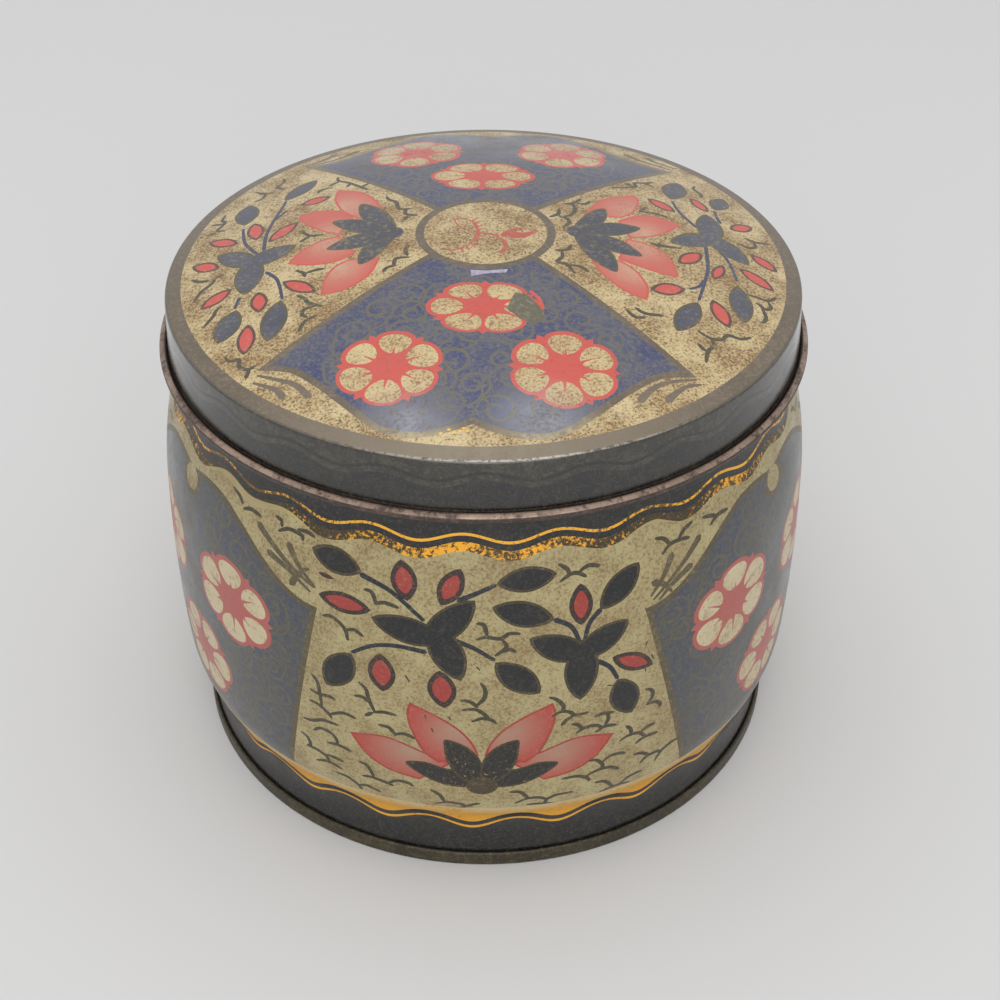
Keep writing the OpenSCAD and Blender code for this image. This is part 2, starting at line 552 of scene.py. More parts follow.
def closed_piece(sheet, *linings):
    """The printed sheet and its linings joined along their edges, shaded by the true lean of its faces."""
    bpy.ops.object.select_all(action="DESELECT")
    for lining in linings:
        lining.select_set(True)
    sheet.select_set(True)
    bpy.context.view_layer.objects.active = sheet
    bpy.ops.object.join()
    bpy.ops.object.mode_set(mode="EDIT")
    bpy.ops.mesh.select_all(action="SELECT")
    bpy.ops.mesh.remove_doubles(threshold=MERGE)
    bpy.ops.mesh.normals_make_consistent(inside=False)
    bpy.ops.object.mode_set(mode="OBJECT")
    bpy.ops.object.shade_smooth()
    mesh = sheet.data
    facing = mesh.attributes["facing"].data
    normals = []
    for vertex in mesh.vertices:
        lean = facing[vertex.index].vector
        normals.append(lean.copy() if lean.length > 0.5 else vertex.normal.copy())
    mesh.normals_split_custom_set_from_vertices(normals)
    return sheet


# Materials
def linear(code):
    """Linear colour from an sRGB hex value."""
    parts = [int(code[i:i + 2], 16) / 255 for i in (0, 2, 4)]
    return [p / 12.92 if p <= 0.04045 else ((p + 0.055) / 1.055) ** 2.4 for p in parts] + [1.0]


def per_mm(size):
    """Pattern scale for features of a size in millimetres."""
    return 1 / (size * MM)


def add(tree, kind, links=None, **settings):
    """Adds a node with its settings, its input values and its links."""
    node = tree.nodes.new(kind)
    for name, value in settings.items():
        setattr(node, name, value)
    for key, value in (links or {}).items():
        if isinstance(value, bpy.types.NodeSocket):
            tree.links.new(value, node.inputs[key])
        else:
            node.inputs[key].default_value = value
    return node


# Wear of the print, in millimetres. Real specks and dust are finer than a pixel of the picture, so they
# are drawn coarser, from half a millimetre up, to show in it.
STAIN_MM = 9
SPOT_MM = 2
DUST_MM = 0.55
GRAIN_DEPTH_MM = 0.06
DUST = "8d887e"
# How much denser specks are in the stains, and how much rarer where an ink that wears is kept
PATCHY = 0.36
KEPT = 0.3


def tinplate(name, ground, fleck, stain, rough=0.32, metallic=0.0, faded_and_lit_to=None, coat=0.0, wears=False,
             grit=0.2):
    """Printed, varnished or bare tinplate, aged by specks of wear, broad stains and pale dust.

    A fleck gives the specks' colour, how rare and how soft they are, and their size in millimetres, and a
    stain its colour and strength. Where the print fades, and where it carries painted sheen, highlight or
    shade, an ink goes over to its second colour, and one that wears has fewer specks.
    """
    fleck_colour, rare, soft, fleck_mm = fleck
    stain_colour, stain_share = stain
    material = bpy.data.materials.new(name)
    material.use_nodes = True
    tree = material.node_tree
    tree.nodes.clear()
    place = add(tree, "ShaderNodeTexCoord").outputs["Object"]
    grain = add(tree, "ShaderNodeTexNoise", {
        "Vector": place, "Scale": per_mm(fleck_mm), "Detail": 5.0, "Roughness": 0.72})
    cloud = add(tree, "ShaderNodeTexNoise", {
        "Vector": place, "Scale": per_mm(STAIN_MM), "Detail": 4.0, "Roughness": 0.6})
    dust = add(tree, "ShaderNodeTexNoise", {
        "Vector": place, "Scale": per_mm(DUST_MM), "Detail": 2.0, "Roughness": 0.6})

    # Ground colour, shifted where the print fades and where sheen, highlight or shade is painted
    colour = linear(ground)
    if faded_and_lit_to or wears:
        tint = add(tree, "ShaderNodeAttribute", attribute_name="fade_and_light")
    if faded_and_lit_to:
        faded_and_lit = add(tree, "ShaderNodeMix", {
            "Factor": tint.outputs["Fac"], "A": colour, "B": linear(faded_and_lit_to)}, data_type="RGBA")
        colour = faded_and_lit.outputs["Result"]

    # Specks, which are denser in the stains
    patchy = add(tree, "ShaderNodeMath", {
        0: cloud.outputs["Fac"], 1: PATCHY, 2: grain.outputs["Fac"]}, operation="MULTIPLY_ADD")
    level = add(tree, "ShaderNodeMath", {0: patchy.outputs["Value"], 1: PATCHY / 2}, operation="SUBTRACT")
    if wears:
        level = add(tree, "ShaderNodeMath", {
            0: tint.outputs["Fac"], 1: -KEPT, 2: level.outputs["Value"]}, operation="MULTIPLY_ADD")
    flecks = add(tree, "ShaderNodeMapRange", {
        "Value": level.outputs["Value"], "From Min": rare - soft / 2, "From Max": rare + soft / 2},
        interpolation_type="SMOOTHSTEP")
    worn = add(tree, "ShaderNodeMix", {
        "Factor": flecks.outputs["Result"], "A": colour, "B": linear(fleck_colour)}, data_type="RGBA")

    # Stains and dust over it
    stains = add(tree, "ShaderNodeMapRange", {
        "Value": cloud.outputs["Fac"], "From Min": 0.35, "From Max": 0.75, "To Max": stain_share})
    aged = add(tree, "ShaderNodeMix", {
        "Factor": stains.outputs["Result"], "A": worn.outputs["Result"], "B": linear(stain_colour)},
        data_type="RGBA")
    specks = add(tree, "ShaderNodeMapRange", {
        "Value": dust.outputs["Fac"], "From Min": 0.5, "From Max": 0.72, "To Max": grit})
    dusty = add(tree, "ShaderNodeMix", {
        "Factor": specks.outputs["Result"], "A": aged.outputs["Result"], "B": linear(DUST)},
        data_type="RGBA")

    # Old varnish: duller in the stains, with a fine grain
    dull = add(tree, "ShaderNodeMapRange", {
        "Value": cloud.outputs["Fac"], "From Min": 0.3, "From Max": 0.7,
        "To Min": rough - 0.07, "To Max": rough + 0.1})
    bump = add(tree, "ShaderNodeBump", {
        "Height": grain.outputs["Fac"], "Strength": 0.12, "Distance": GRAIN_DEPTH_MM * MM})
    shader = add(tree, "ShaderNodeBsdfPrincipled", {
        "Base Color": dusty.outputs["Result"], "Roughness": dull.outputs["Result"], "Metallic": metallic,
        "Coat Weight": coat, "Coat Roughness": 0.15, "Normal": bump.outputs["Normal"]})
    add(tree, "ShaderNodeOutputMaterial", {"Surface": shader.outputs["BSDF"]})
    return material


lid_inks = {
    # Lithographed cream ink gone yellow: a warm ground, pitted with brown specks
    "cream": tinplate(
        "cream ink on lid", "d0bb8d", ("533a20", 0.54, 0.22, 0.6), ("94703f", 0.6), grit=0.12),
    # Lithographed blue ink rubbed dull: navy with grey in it, paler where painted sheen lies
    "blue": tinplate(
        "blue ink on lid", "3d446b", ("726e68", 0.54, 0.28, 0.9), ("5f6067", 0.6), faded_and_lit_to="a3a4ae"),
    # Olive line ink over the blue: curls that only just show, paler where painted sheen lies
    "scroll": tinplate(
        "olive scrolls on lid", "686354", ("53577a", 0.56, 0.2, 1.0), ("6a665f", 0.5), faded_and_lit_to="96948f"),
    # Solid coral ink: a flat, warm red on pods and petal rims
    "red": tinplate("coral ink on lid", "cb5348", ("d07466", 0.6, 0.2, 1.2), ("c4625a", 0.4)),
    # The same coral on blossoms: it goes pale where painted sheen lies
    "bloom": tinplate(
        "coral blossoms on lid", "cb5348", ("b8493f", 0.6, 0.2, 1.2), ("c4625a", 0.4), faded_and_lit_to="c4a09c"),
    # Coral ink stippled thinner towards the middle: red edges and a pale heart
    "petal": tinplate(
        "shaded petals on lid", "cc6256", ("b5705c", 0.6, 0.24, 0.8), ("c06c5e", 0.4), faded_and_lit_to="c9a489"),
    # Cream ink on the blossoms' petals: paler than the ground, with brown pits, and greyer where painted
    # sheen lies
    "blossom": tinplate(
        "blossom cream on lid", "d0bd8d", ("63412a", 0.57, 0.24, 0.6), ("b98f66", 0.5),
        grit=0.12, faded_and_lit_to="b5a79c"),
    # Black ink on leaves: slate grey with pale dust in its grain
    "leaf": tinplate(
        "black ink on lid", "494b59", ("857f72", 0.61, 0.18, 1.0), ("66656b", 0.5), grit=0.18),
    # Black ink on the calyxes: slate with olive specks
    "calyx": tinplate("black calyx ink on lid", "414350", ("8d8060", 0.6, 0.16, 1.2), ("5f5e62", 0.5)),
    # Olive line ink around leaves: a thin rim, browner than the leaf
    "leaf edge": tinplate("olive edge on lid", "57503c", ("8a7f60", 0.61, 0.18, 1.2), ("645c45", 0.5)),
    # Olive line ink of rings and borders: dull brown, paler where painted sheen lies on the panels' rims
    # and where a painted highlight lies at the front of the border
    "olive": tinplate(
        "olive ink on lid", "63584a", ("7f725d", 0.57, 0.24, 1.0), ("74665a", 0.5), faded_and_lit_to="b4a788"),
    # Brown line ink around pods: a dark rim that sharpens the red
    "pod edge": tinplate("brown edge on lid", "5b4038", ("8d6f5a", 0.61, 0.18, 1.2), ("5f4a40", 0.4)),
    # Navy line ink of the stems: dark and thin, with pale specks
    "stem": tinplate("navy stems on lid", "3d4159", ("857f78", 0.63, 0.16, 1.2), ("595d70", 0.4)),
    # Dark olive line ink of the tufts: brush strokes almost black on the cream
    "tuft": tinplate("dark tufts on lid", "4c4535", ("8f8262", 0.63, 0.16, 1.2), ("5f5846", 0.4)),
    # Thin red ink of the roundel's sprig: faded into the cream
    "sprig": tinplate("red sprig on lid", "b6564a", ("c79a78", 0.62, 0.18, 1.2), ("b4715d", 0.4)),
    # Bare tinplate where the print has chipped: dull olive grey
    "chip": tinplate("scuffed bare tinplate", "67624f", ("8a8574", 0.56, 0.2, 1.4), ("5a5648", 0.6)),
    # A painted glint on the varnish: one cold, pale smear
    "painted glint": tinplate("painted pale glint on varnish", "b9b0c8", ("8f8aa0", 0.54, 0.16, 1.2), ("a8a0b4", 0.5)),
    # The last of some bronze ink: a few bright yellow specks
    "gold fleck": tinplate(
        "flecks of bronze gold", "efc052", ("a8741f", 0.62, 0.16, 1.2), ("d09a3a", 0.4)),
    # Edge worn down to the metal: dull grey, with broken bright dashes at the front, where a painted
    # highlight lightens it
    "edge": tinplate(
        "worn edge of lid with painted highlight", "6a6052", ("5f564a", 0.53, 0.16, 1.3), ("6a6056", 0.3),
        metallic=0.2, faded_and_lit_to="cbc4bb", grit=0.12),
    # Stoved dark varnish: near black, glossy at a slant, with painted shade deepening it towards the bead
    "skirt": tinplate(
        "dark skirt varnish", "15171c", ("28231b", 0.56, 0.24, 2.4), ("1f1c16", 0.5),
        rough=0.26, coat=0.65, faded_and_lit_to="060606", grit=0.12),
    # Olive ink under the same varnish: waves one shade lighter
    "skirt wave": tinplate(
        "olive waves on skirt", "26221a", ("45402f", 0.56, 0.2, 1.8), ("1d1c1a", 0.5),
        rough=0.25, coat=0.8, grit=0.12),
    # Painted shadow in the corner above the bead, partly grime: matt dark brown
    "grime and shade": tinplate(
        "grime along the bead", "2f2924", ("473b33", 0.58, 0.2, 1.6), ("382d26", 0.5), rough=0.5),
}
body_inks = {
    # Lithographed cream ink: greener and duller than the lid's, under more dirt
    "cream": tinplate(
        "cream ink on body", "a99d72", ("6c5c37", 0.56, 0.26, 0.7), ("8a7049", 0.55), grit=0.12),
    # Blue ink under glossy varnish: dark slate that catches the room along its edges
    "blue": tinplate("blue ink on body", "31384b", ("4c493b", 0.53, 0.3, 1.8), ("43423a", 0.6), coat=0.3),
    # Olive line ink over the blue: curls that only just show
    "scroll": tinplate(
        "olive scrolls on body", "504a37", ("3a3c44", 0.58, 0.2, 1.0), ("4c4737", 0.5), coat=0.3),
    # Solid coral ink: deeper than on the lid, which has bleached
    "red": tinplate("coral ink on body", "973229", ("ab6153", 0.63, 0.18, 1.2), ("8e3d34", 0.4)),
    # Coral ink on blossoms: a little chalky
    "bloom": tinplate("coral blossoms on body", "a74f48", ("9c4038", 0.6, 0.2, 1.2), ("ab6a60", 0.5)),
    # Coral ink stippled thinner towards the middle: red edges and a pale heart
    "petal": tinplate(
        "shaded petals on body", "a74237", ("ab6454", 0.62, 0.2, 1.2), ("9a463b", 0.35),
        faded_and_lit_to="a08a74"),
    # Cream ink on the blossoms' petals: the palest ink of the side
    "blossom": tinplate(
        "blossom cream on body", "c3b592", ("8f7458", 0.6, 0.22, 1.3), ("b09a78", 0.4), grit=0.12),
    # Black ink on leaves: almost black, with faint dust
    "leaf": tinplate(
        "black ink on body", "15171a", ("38332a", 0.6, 0.2, 1.4), ("211f1c", 0.5), grit=0.09),
    # Black ink dusted with bronze: small gold specks on black
    "calyx": tinplate("black calyx ink on body", "1f1d19", ("c0913d", 0.66, 0.06, 1.1), ("2b261c", 0.4)),
    # Brown line ink around leaves: a thin rim
    "leaf edge": tinplate("brown edge on body", "3b311b", ("6a5b38", 0.62, 0.18, 1.2), ("463b27", 0.4)),
    # Olive line ink of borders: dull brown
    "olive": tinplate("olive ink on body", "4f452d", ("7d6f50", 0.61, 0.18, 1.2), ("5f5339", 0.5)),
    # Dark brown line ink around pods: a broad rim
    "pod edge": tinplate(
        "brown pod edge on body", "301f16", ("5d4230", 0.62, 0.18, 1.2), ("423026", 0.4)),
    # Navy line ink of the stems: almost black
    "stem": tinplate("navy stems on body", "181c25", ("66604f", 0.64, 0.16, 1.2), ("282a30", 0.4)),
    # Dark olive line ink of the tufts: brush strokes on the cream
    "tuft": tinplate("dark tufts on body", "3a3320", ("746949", 0.63, 0.16, 1.2), ("504936", 0.4)),
    # Bronze ink: an even, warm yellow line with a soft metal shine
    "gold": tinplate(
        "bronze gold ink", "e9a822", ("9a6614", 0.62, 0.16, 1.2), ("dc9c2c", 0.4),
        rough=0.36, metallic=0.2),
    # Bronze ink worn thin: gold that runs out into the cream above it
    "low gold": tinplate(
        "gold worn into cream", "e6a41e", ("b07a1c", 0.62, 0.2, 1.2), ("d3962e", 0.4),
        rough=0.36, metallic=0.15, faded_and_lit_to="bfb083"),
    # Bronze ink of the upper line: bright at the front, broken where it has been handled
    "worn gold": tinplate(
        "worn gold line", "f2b02a", ("3a3322", 0.35, 0.12, 0.9), ("dc9c2c", 0.2),
        rough=0.36, metallic=0.2, wears=True),
    # Bronze ink almost gone: gold specks on dark varnish
    "spent gold": tinplate(
        "spent gold band", "f0aa22", ("3d3320", 0.22, 0.1, 0.9), ("6e5428", 0.15),
        rough=0.36, metallic=0.2, wears=True),
    # The last of the bronze on cream: scattered gold specks
    "side gold": tinplate(
        "gold flecks on cream", "d9a032", ("a69a6e", 0.38, 0.08, 0.9), ("8a7049", 0.5), rough=0.36),
    # Stoved dark varnish: near black with pale dust
    "band": tinplate(
        "dark band varnish", "131417", ("2b2822", 0.57, 0.22, 1.8), ("1c1a16", 0.5),
        rough=0.3, coat=0.12, grit=0.14),
    # Soldered side seam: a dull grey strip
    "side seam": tinplate(
        "soldered side seam", "5a564d", ("7d776b", 0.54, 0.18, 1.4), ("4d4a44", 0.5), metallic=0.3),
    # Bare tinplate scuffed by the lid: bright grey with brown rubs
    "neck": tinplate(
        "scuffed neck tinplate", "8d887d", ("6a6154", 0.54, 0.18, 1.8), ("746a58", 0.6),
        rough=0.4, metallic=0.7),
}
# Old bare tinplate inside: a soft grey shine with brown spots
old_tin = tinplate(
    "old tinplate inside", "8c877b", ("6d6353", 0.54, 0.2, 2.0), ("75695a", 0.6),
    rough=0.42, metallic=0.7)
# Dark paint in the folds of the bead: dull brown
bead_paint = tinplate(
    "dark paint on bead", "352821", ("624d44", 0.6, 0.2, 1.8), ("3d2e25", 0.5), rough=0.45)
# Crest of the bead worn bare and painted pale as a highlight on its top: pinkish grey metal with dark spots
bead_crest_worn_and_lit = tinplate(
    "worn crest of bead with painted highlight", "a88f7e", ("3a2d26", 0.57, 0.24, 1.6), ("54433a", 0.7),
    rough=0.36, metallic=0.3)
# Olive paint on the base seam: dark, worn to lighter specks
base_paint = tinplate(
    "worn olive base seam", "2d2818", ("4f462f", 0.56, 0.2, 1.4), ("4a402e", 0.5),
    rough=0.42, metallic=0.2)


def bare_inside(material, bare, floor_z, rim_r):
    """Leaves the upper face of the base bare tinplate, inside the wall and above the panel's own sheet."""
    tree = material.node_tree
    shader = next(node for node in tree.nodes if node.type == "BSDF_PRINCIPLED")
    paint = shader.inputs["Base Color"].links[0].from_socket
    place = add(tree, "ShaderNodeTexCoord").outputs["Object"]
    height = add(tree, "ShaderNodeSeparateXYZ", {"Vector": place}).outputs["Z"]
    above = add(tree, "ShaderNodeMath", {0: height, 1: floor_z * MM}, operation="GREATER_THAN")
    flat = add(tree, "ShaderNodeVectorMath", {0: place, 1: (1, 1, 0)}, operation="MULTIPLY")
    reach = add(tree, "ShaderNodeVectorMath", {0: flat.outputs["Vector"]}, operation="LENGTH")
    within = add(tree, "ShaderNodeMath", {
        0: reach.outputs["Value"], 1: rim_r * MM}, operation="LESS_THAN")
    mask = add(tree, "ShaderNodeMath", {
        0: above.outputs["Value"], 1: within.outputs["Value"]}, operation="MULTIPLY")
    spots = add(tree, "ShaderNodeTexNoise", {
        "Vector": place, "Scale": per_mm(SPOT_MM), "Detail": 5.0, "Roughness": 0.7})
    tin = add(tree, "ShaderNodeMix", {
        "Factor": spots.outputs["Fac"], "A": linear(bare[0]), "B": linear(bare[1])}, data_type="RGBA")
    face = add(tree, "ShaderNodeMix", {
        "Factor": mask.outputs["Value"], "A": paint, "B": tin.outputs["Result"]}, data_type="RGBA")
    tree.links.new(face.outputs["Result"], shader.inputs["Base Color"])


# The base's upper face keeps its tin: grey with brown spots
bare_inside(base_paint, ("9a9488", "5f5546"), BASE_FLOOR_Z, BASE_RIM_R)

# Drawn steel wire: grey metal with a touch of rust
wire = tinplate(
    "drawn steel wire", "83807b", ("6b5a4a", 0.54, 0.14, 0.8), ("70655a", 0.5), rough=0.4, metallic=0.9)


# Print on the lid: its turn, the right half of a panel's outer edge, and the reach of its rings
PRINT_TURN = math.radians(-2.2)
FRONT_EDGE = [
    (48, -47.2), (40.5, -49.2), (34.5, -54), (29.5, -59), (25, -63.5), (21.5, -66.8),
    (17, -69.2), (12, -69.9), (7.5, -69.2), (2.8, -67.6), (0, -66.2),
]
PANEL_FOOT = (12, -10.2)
LID_PANEL_RIM = 1.7
SCROLL_PITCH = 9
# Reach of the painted shadow and grime above the bead, of the skirt, and of the skirt's painted shade
# towards the bead
GRIME_AND_SHADE_S = LID_END_S + 0.5
SKIRT_S = 88
BEAD_SHADE_S = 82
BEAD_SHADE_L = 4
WAVE_RINGS = [("skirt wave", 81.6), ("skirt", 80.2), ("skirt wave", 79.4)]
WAVE_H = 1.1
WAVES = 22
RUBBED_S = LID_EDGE_S + 0.6
BORDER_S = LID_EDGE_S + 0.1
CREAM_S = 72.1
ROUNDEL = (0.5, -0.3)
ROUNDEL_R = 16.4
ROUNDEL_FIELD_R = 14.4
DROP_W = (0.6, 1.9)


def turned(x, y, angle):
    c, s = math.cos(angle), math.sin(angle)
    return (x * c - y * s, x * s + y * c)


def painted_front_sheen(x, y):
    """Painted sheen over the two lobes of the front edge."""
    left = 1 - np.hypot(x + 14, y + 67) / 13
    right = 1 - np.hypot(x - 15, y + 65) / 14
    return 0.9 * np.maximum(left, right)


def painted_back_sheen(x, y):
    """Painted sheen along the far edge."""
    return 0.6 * (-y - 36) / 30


def shade_towards_bead(x, y):
    """Painted shade on the skirt, growing towards the bead."""
    return (np.hypot(x, y) - BEAD_SHADE_S) / BEAD_SHADE_L


def rubbed_and_highlit(x, y):
    """Painted highlight on the worn edge of the lid: brightest at the front, a little to the right."""
    return 1 - np.abs(np.arctan2(x - 8, -y)) / 0.6


def painted_front_highlight(x, y):
    """Painted highlight on the olive border: lighter at the front."""
    return 0.4 - np.abs(np.arctan2(x, -y)) / 2


def wavy_ring(middle):
    turns = [2 * math.pi * i / (2 * TURNS) for i in range(2 * TURNS)]
    reaches = [middle + WAVE_H * math.cos(WAVES * a) for a in turns]
    return [(reach * math.cos(a), reach * math.sin(a)) for reach, a in zip(reaches, turns)]


def blue_panel(fade_and_light):
    """A blue panel of the lid with its three blossoms."""
    panel = Print()
    right = curved(FRONT_EDGE)
    left = [(-x, y) for x, y in reversed(right[:-1])]
    foot_x, foot_y = PANEL_FOOT
    outline = [PANEL_FOOT] + right + left + [(-foot_x, foot_y)]
    field = inset(anticlockwise(outline), LID_PANEL_RIM)
    # The panel's olive rim takes the painted sheen more strongly than the blue inside it
    panel.lay("olive", outline, lambda x, y: 1.8 * fade_and_light(x, y))
    panel.lay("blue", field, fade_and_light)
    panel.scrollwork(field, SCROLL_PITCH, fade_and_light)
    panel.blossom(1.2, -30.5, 13, 9.4, 0, fade_and_light)
    panel.blossom(-18.6, -49.7, 12, 11.3, 24, fade_and_light)
    panel.blossom(19.1, -49.3, 12.4, 11.6, 30, fade_and_light)
    return panel


def lid_print():
    lid = Print()
    # Painted shadow and grime above the bead, then the skirt with painted shade towards the bead
    lid.lay("grime and shade", fine_ring(GRIME_AND_SHADE_S))
    lid.lay("skirt", fine_ring(SKIRT_S), shade_towards_bead)
    for ink, middle in WAVE_RINGS:
        lid.lay(ink, wavy_ring(middle))
    # The worn edge and the olive border, each with a painted highlight at the front
    lid.lay("edge", fine_ring(RUBBED_S), rubbed_and_highlit)
    lid.lay("olive", fine_ring(BORDER_S), painted_front_highlight)
    lid.lay("cream", fine_ring(CREAM_S))
    # Both blue panels, paled by painted sheen: the front one at its front edge, the back one along the far
    # edge
    for fade_and_light, angle in ((painted_front_sheen, PRINT_TURN), (painted_back_sheen, PRINT_TURN + math.pi)):
        lid.place(
            blue_panel(fade_and_light), lambda x, y, a=angle: turned(x, y, a), lambda x, y, a=angle: turned(x, y, -a))
    # Wear of the front panel: a chip with some red left beside it and specks of gold; then a painted glint
    lid.lay("chip", [
        (6.9, -25.5), (9.5, -26), (11.5, -29), (13.2, -31.5), (13.4, -34.5), (11, -36), (8.3, -35),
        (6.5, -33), (5, -31.5), (6, -28)])
    lid.lay("red", stroke([(10.4, -25), (12.2, -27.5), (13, -31)], 0.9))
    for x, y in ((-7.5, -67.5), (-6.4, -68.2), (-5.2, -67.9), (-4.4, -67.2), (-3.6, -68), (-9.2, -68.4)):
        lid.lay("gold fleck", round_spot(x, y, 0.4, 0.3, steps=8))
    lid.lay("painted glint", [(-3, -17), (0, -17.3), (5.5, -16.7), (5, -18), (1, -18.3), (-2.8, -19.3)])
    # Corner drops
    for drop in [
        [(-49.5, -46.9), (-44.5, -49.4), (-40.8, -51.5), (-37.8, -55.3)],
        [(-50.3, -49), (-47.4, -50.7), (-44.9, -52.3), (-43.5, -54.6)],
        [(46, -49.7), (40, -51.5), (36.2, -54), (33.3, -57.7)],
        [(47, -51), (43.7, -52.3), (41.2, -54.6), (39.4, -56.9)],
    ]:
        lid.lay("olive", stroke(drop, *DROP_W))
        lid.lay("olive", stroke([(-x, -y) for x, y in drop], *DROP_W))
    lotus(lid, LEFT_PETALS, LEFT_SEPALS, (-20.6, 0.6))
    lotus(lid, RIGHT_PETALS, RIGHT_SEPALS, (21.4, 0.9))
    left_spray(lid)
    right_spray(lid)
    # Roundel with a small sprig
    lid.lay("olive", round_spot(*ROUNDEL, ROUNDEL_R, steps=72))
    lid.lay("cream", round_spot(*ROUNDEL, ROUNDEL_FIELD_R, steps=72))
    sprig(lid)
    return lid


def sprig(lid):
    """A red bud on its stalk, with a fringe and one leaf."""
    bow = [(-6.9, 5.5), (-4.3, 5.4), (-2.1, 3.4), (-1.2, 0), (-1.4, -3.4), (-4.4, -7.4), (-7.8, -9)]
    lid.lay("sprig", stroke(bow, 0.5, 0.5))
    lid.lay("sprig", stroke([(-6.9, 5.5), (-6.2, 3), (-4.4, 0.6), (-1.4, -0.8)], 0.4))
    lid.lay("sprig", stroke([(-2.2, 3.2), (-1.4, -0.5), (-2.4, -4.6)], 0.6, 0.6))
    for x, y, over, up in [
        (-2.6, 4.2, 1.2, 2), (-2, 3, 1.5, 1.5), (-1.5, 1.6, 1.8, 1), (-1.3, 0.4, 1.8, 0.4),
        (-1.3, -2, 1.6, -1), (-1.6, -3.2, 1.5, -1.5), (-2.2, -4.5, 1.3, -1.9), (-3, -5.7, 1.1, -2),
        (-4, -6.8, 0.8, -2.1), (-5.2, -7.7, 0.5, -2.1),
    ]:
        hair = [(x, y), (x + over / 2, y + up / 2), (x + over, y + up)]
        lid.lay("sprig", stroke(hair, 0.55, 0.25, steps=2))
    lid.lay("sprig", stroke([(-1.2, -1.2), (1, -1.7), (3.8, -2.4)], 0.8, 0.6))
    lid.lay("sprig", stroke([(2.3, -2.3), (4.4, -4.4), (5.2, -7), (4.2, -9.7)], 0.6, 1.3))
    lid.lay("sprig", lens((3.8, -2.4), (12.6, 0.2), 2.4))
    lid.lay("cream", lens((7, -0.4), (11.8, 0.5), 0.9))


# Lotus flowers: each petal's tip, its two edges to the foot, and its palest point
LEFT_PETALS = [
    ((-35.9, 27.5), [(-36.5, 22), (-34.5, 15), (-30, 9)], [(-30, 24.5), (-26, 18.5), (-24, 12.5)],
     (-34, 15)),
    ((-44.8, 15.3), [(-40, 16.3), (-34.5, 14.5), (-31, 10)], [(-43.5, 11), (-39, 5.5), (-34, 2)], (-36, 3)),
    ((-45.7, -7.9), [(-43, -3), (-38.5, 0.5), (-34, 1.8)], [(-40, -10), (-34, -10), (-29.5, -7)],
     (-36, -1)),
    ((-36.8, -22.6), [(-36.5, -17), (-34.5, -12), (-31, -9.5)], [(-31, -21.5), (-26, -17), (-23.7, -10)],
     (-33.5, -12)),
]
RIGHT_PETALS = [
    ((37.1, 23.8), [(29, 19), (25, 12), (24.2, 9.5)], [(38.2, 20.8), (36.5, 13.8), (33, 9.5)], (36, 14)),
    ((47.5, 10.2), [(43, 12.3), (38, 12.5), (32, 8)], [(45, 6.5), (40, 2), (34.5, -0.2)], (38, 2.5)),
    ((45, -14.2), [(43.5, -7), (39, -2), (33.5, -0.3)], [(42, -14.5), (36, -12.5), (31, -10)], (37.5, -3)),
    ((36.7, -25.2), [(37.4, -20), (35, -14), (31.5, -10.5)], [(31.5, -22.5), (27, -17), (24.6, -11.5)],
     (34.5, -13.5)),
]
LEFT_SEPALS = [
    [(-29.7, 17), (-30, 13), (-28.5, 8), (-24, 2), (-20.5, 2), (-21.6, 8), (-24.2, 13), (-27.3, 16)],
    [(-28.6, -12.1), (-25.5, -10.5), (-22.8, -6.5), (-20.5, -1), (-24, 0), (-27, -3.2), (-28.8, -7.5)],
    [(-36.1, 9.2), (-34, 5.5), (-30, 2.2), (-22, 0.5), (-23, 4), (-28, 8), (-32, 9.4)],
    [(-36.7, -3.8), (-33, -5), (-28.5, -4.8), (-22, -1.5), (-22, 1.5), (-28, 1.8), (-33, 0)],
]
RIGHT_SEPALS = [[(0.7 - x, 1.6 - y) for x, y in outline] for outline in LEFT_SEPALS]


def lotus(lid, petals, sepals, foot):
    """Petals, the sepals over them, and the round foot of the flower."""
    for petal in petals:
        lid.petal(*petal)
    lid.sepals(sepals)
    lid.lay("calyx", round_spot(*foot, 1.9, 2.5))


